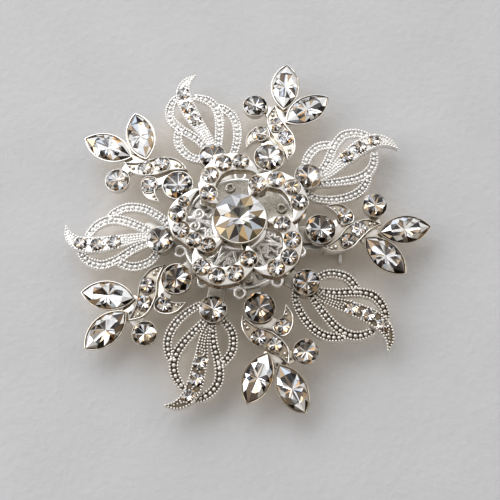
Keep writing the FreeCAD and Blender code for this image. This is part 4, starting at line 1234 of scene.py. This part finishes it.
lo, hi = cad_box
floor_z = lo[2] - 0.00004
me = bpy.data.meshes.new("floor")
s = 4.0
me.from_pydata([(-s, -s, floor_z), (s, -s, floor_z), (s, s, floor_z), (-s, s, floor_z)], [], [(0, 1, 2, 3)])
me.materials.append(paper())
floor = bpy.data.objects.new("floor", me)
bpy.context.scene.collection.objects.link(floor)

world = bpy.data.worlds.new("studio")
bpy.context.scene.world = world
world.use_nodes = True
nt = world.node_tree
nt.nodes.clear()
N, Lk = nt.nodes.new, nt.links.new
out = N("ShaderNodeOutputWorld")
bg = N("ShaderNodeBackground")
tc = N("ShaderNodeTexCoord")


def sky(az, el):
    a, e = math.radians(az), math.radians(el)
    return (math.cos(a) * math.cos(e), math.sin(a) * math.cos(e), math.sin(e))


def patch(az, el, radius, soft, colour, last):
    """Add a round bright or dim area to the studio walls."""
    dot = N("ShaderNodeVectorMath")
    dot.operation = "DOT_PRODUCT"
    dot.inputs[1].default_value = sky(az, el)
    Lk(tc.outputs["Generated"], dot.inputs[0])
    mr = N("ShaderNodeMapRange")
    mr.inputs["From Min"].default_value = math.cos(math.radians(radius + soft))
    mr.inputs["From Max"].default_value = math.cos(math.radians(max(radius - soft, 0.0)))
    Lk(dot.outputs["Value"], mr.inputs["Value"])
    mix = N("ShaderNodeMix")
    mix.data_type = "RGBA"
    Lk(mr.outputs[0], mix.inputs["Factor"])
    if isinstance(last, tuple):
        mix.inputs["A"].default_value = (*last, 1)
    else:
        Lk(last, mix.inputs["A"])
    mix.inputs["B"].default_value = (*colour, 1)
    return mix.outputs["Result"]


last = (0.46, 0.415, 0.36)
for az, el, radius, soft, colour in (
        (110, 40, 64, 28, (1.20, 1.20, 1.21)),
        (125, 50, 24, 3.0, (1.32, 1.32, 1.34)),
        (85, 68, 14, 4.0, (1.00, 0.99, 0.98)),
        (15, 52, 12, 1.2, (1.15, 1.10, 1.02)),
        (205, 52, 12, 1.2, (1.15, 1.17, 1.21)),
        (318, 55, 10, 1.0, (1.15, 1.02, 0.85)),
        (236, 62, 9, 1.0, (1.12, 1.12, 1.13)),
        (270, 74, 9, 2.0, (0.12, 0.10, 0.09)),
        (60, 44, 8, 1.5, (0.09, 0.08, 0.07)),
        (165, 74, 7, 1.2, (0.12, 0.11, 0.10)),
        (345, 68, 7, 1.2, (0.10, 0.09, 0.08)),
        (300, 38, 16, 3.0, (0.13, 0.10, 0.075)),
        (235, 34, 12, 3.0, (0.16, 0.125, 0.09)),
        (155, 23, 8, 1.0, (1.35, 1.35, 1.38)),
        (97, 14, 7, 1.0, (1.3, 1.3, 1.3)),
        (28, 24, 4.5, 0.8, (1.7, 1.65, 1.55)),
        (266, 46, 3.2, 0.6, (2.2, 2.15, 2.1))):
    last = patch(az, el, radius, soft, colour, last)
Lk(last, bg.inputs["Color"])
bg.inputs["Strength"].default_value = 0.85
wall = N("ShaderNodeBackground")
wall.inputs["Color"].default_value = (0.56, 0.56, 0.565, 1)
path = N("ShaderNodeLightPath")
seen = N("ShaderNodeMixShader")
Lk(path.outputs["Is Camera Ray"], seen.inputs["Fac"])
Lk(bg.outputs[0], seen.inputs[1])
Lk(wall.outputs[0], seen.inputs[2])
Lk(seen.outputs[0], out.inputs[0])


def area(name, loc, size, power, colour=(1, 1, 1)):
    d = bpy.data.lights.new(name, "AREA")
    d.shape = "RECTANGLE"
    d.size, d.size_y = size
    d.energy = power
    d.color = colour
    o = bpy.data.objects.new(name, d)
    o.location = loc
    o.rotation_euler = (Vector((0, 0, 0)) - Vector(loc)).to_track_quat("-Z", "Y").to_euler()
    bpy.context.scene.collection.objects.link(o)
    return o


area("key_window", (-0.30, 0.42, 0.62), (0.80, 0.60), 2.9, (0.99, 0.995, 1.0))
area("side_window", (-0.60, -0.05, 0.40), (0.30, 0.36), 0.8, (0.96, 0.98, 1.0))
area("right_card", (0.55, 0.20, 0.38), (0.18, 0.36), 0.3, (1.0, 0.94, 0.86))

el = math.radians(71.0)
back = Vector((0.0, -math.cos(el), math.sin(el)))
up = Vector((0.0, math.sin(el), math.cos(el)))
cam_d = bpy.data.cameras.new("camera")
cam_d.sensor_width = 36.0
cam_d.lens = 36.0 * 1428.74 / 500.0
cam_d.clip_start = 0.01
cam = bpy.data.objects.new("camera", cam_d)
m = Matrix.Identity(3)
m.col[0], m.col[1], m.col[2] = Vector((1, 0, 0)), up, back
cam.matrix_world = Matrix.Translation(Vector((0.00198, -0.09658, 0.26896 + Z0 * 0.001))) @ m.to_4x4()
bpy.context.scene.collection.objects.link(cam)
bpy.context.scene.camera = cam
bpy.context.scene.view_settings.view_transform = "Standard"
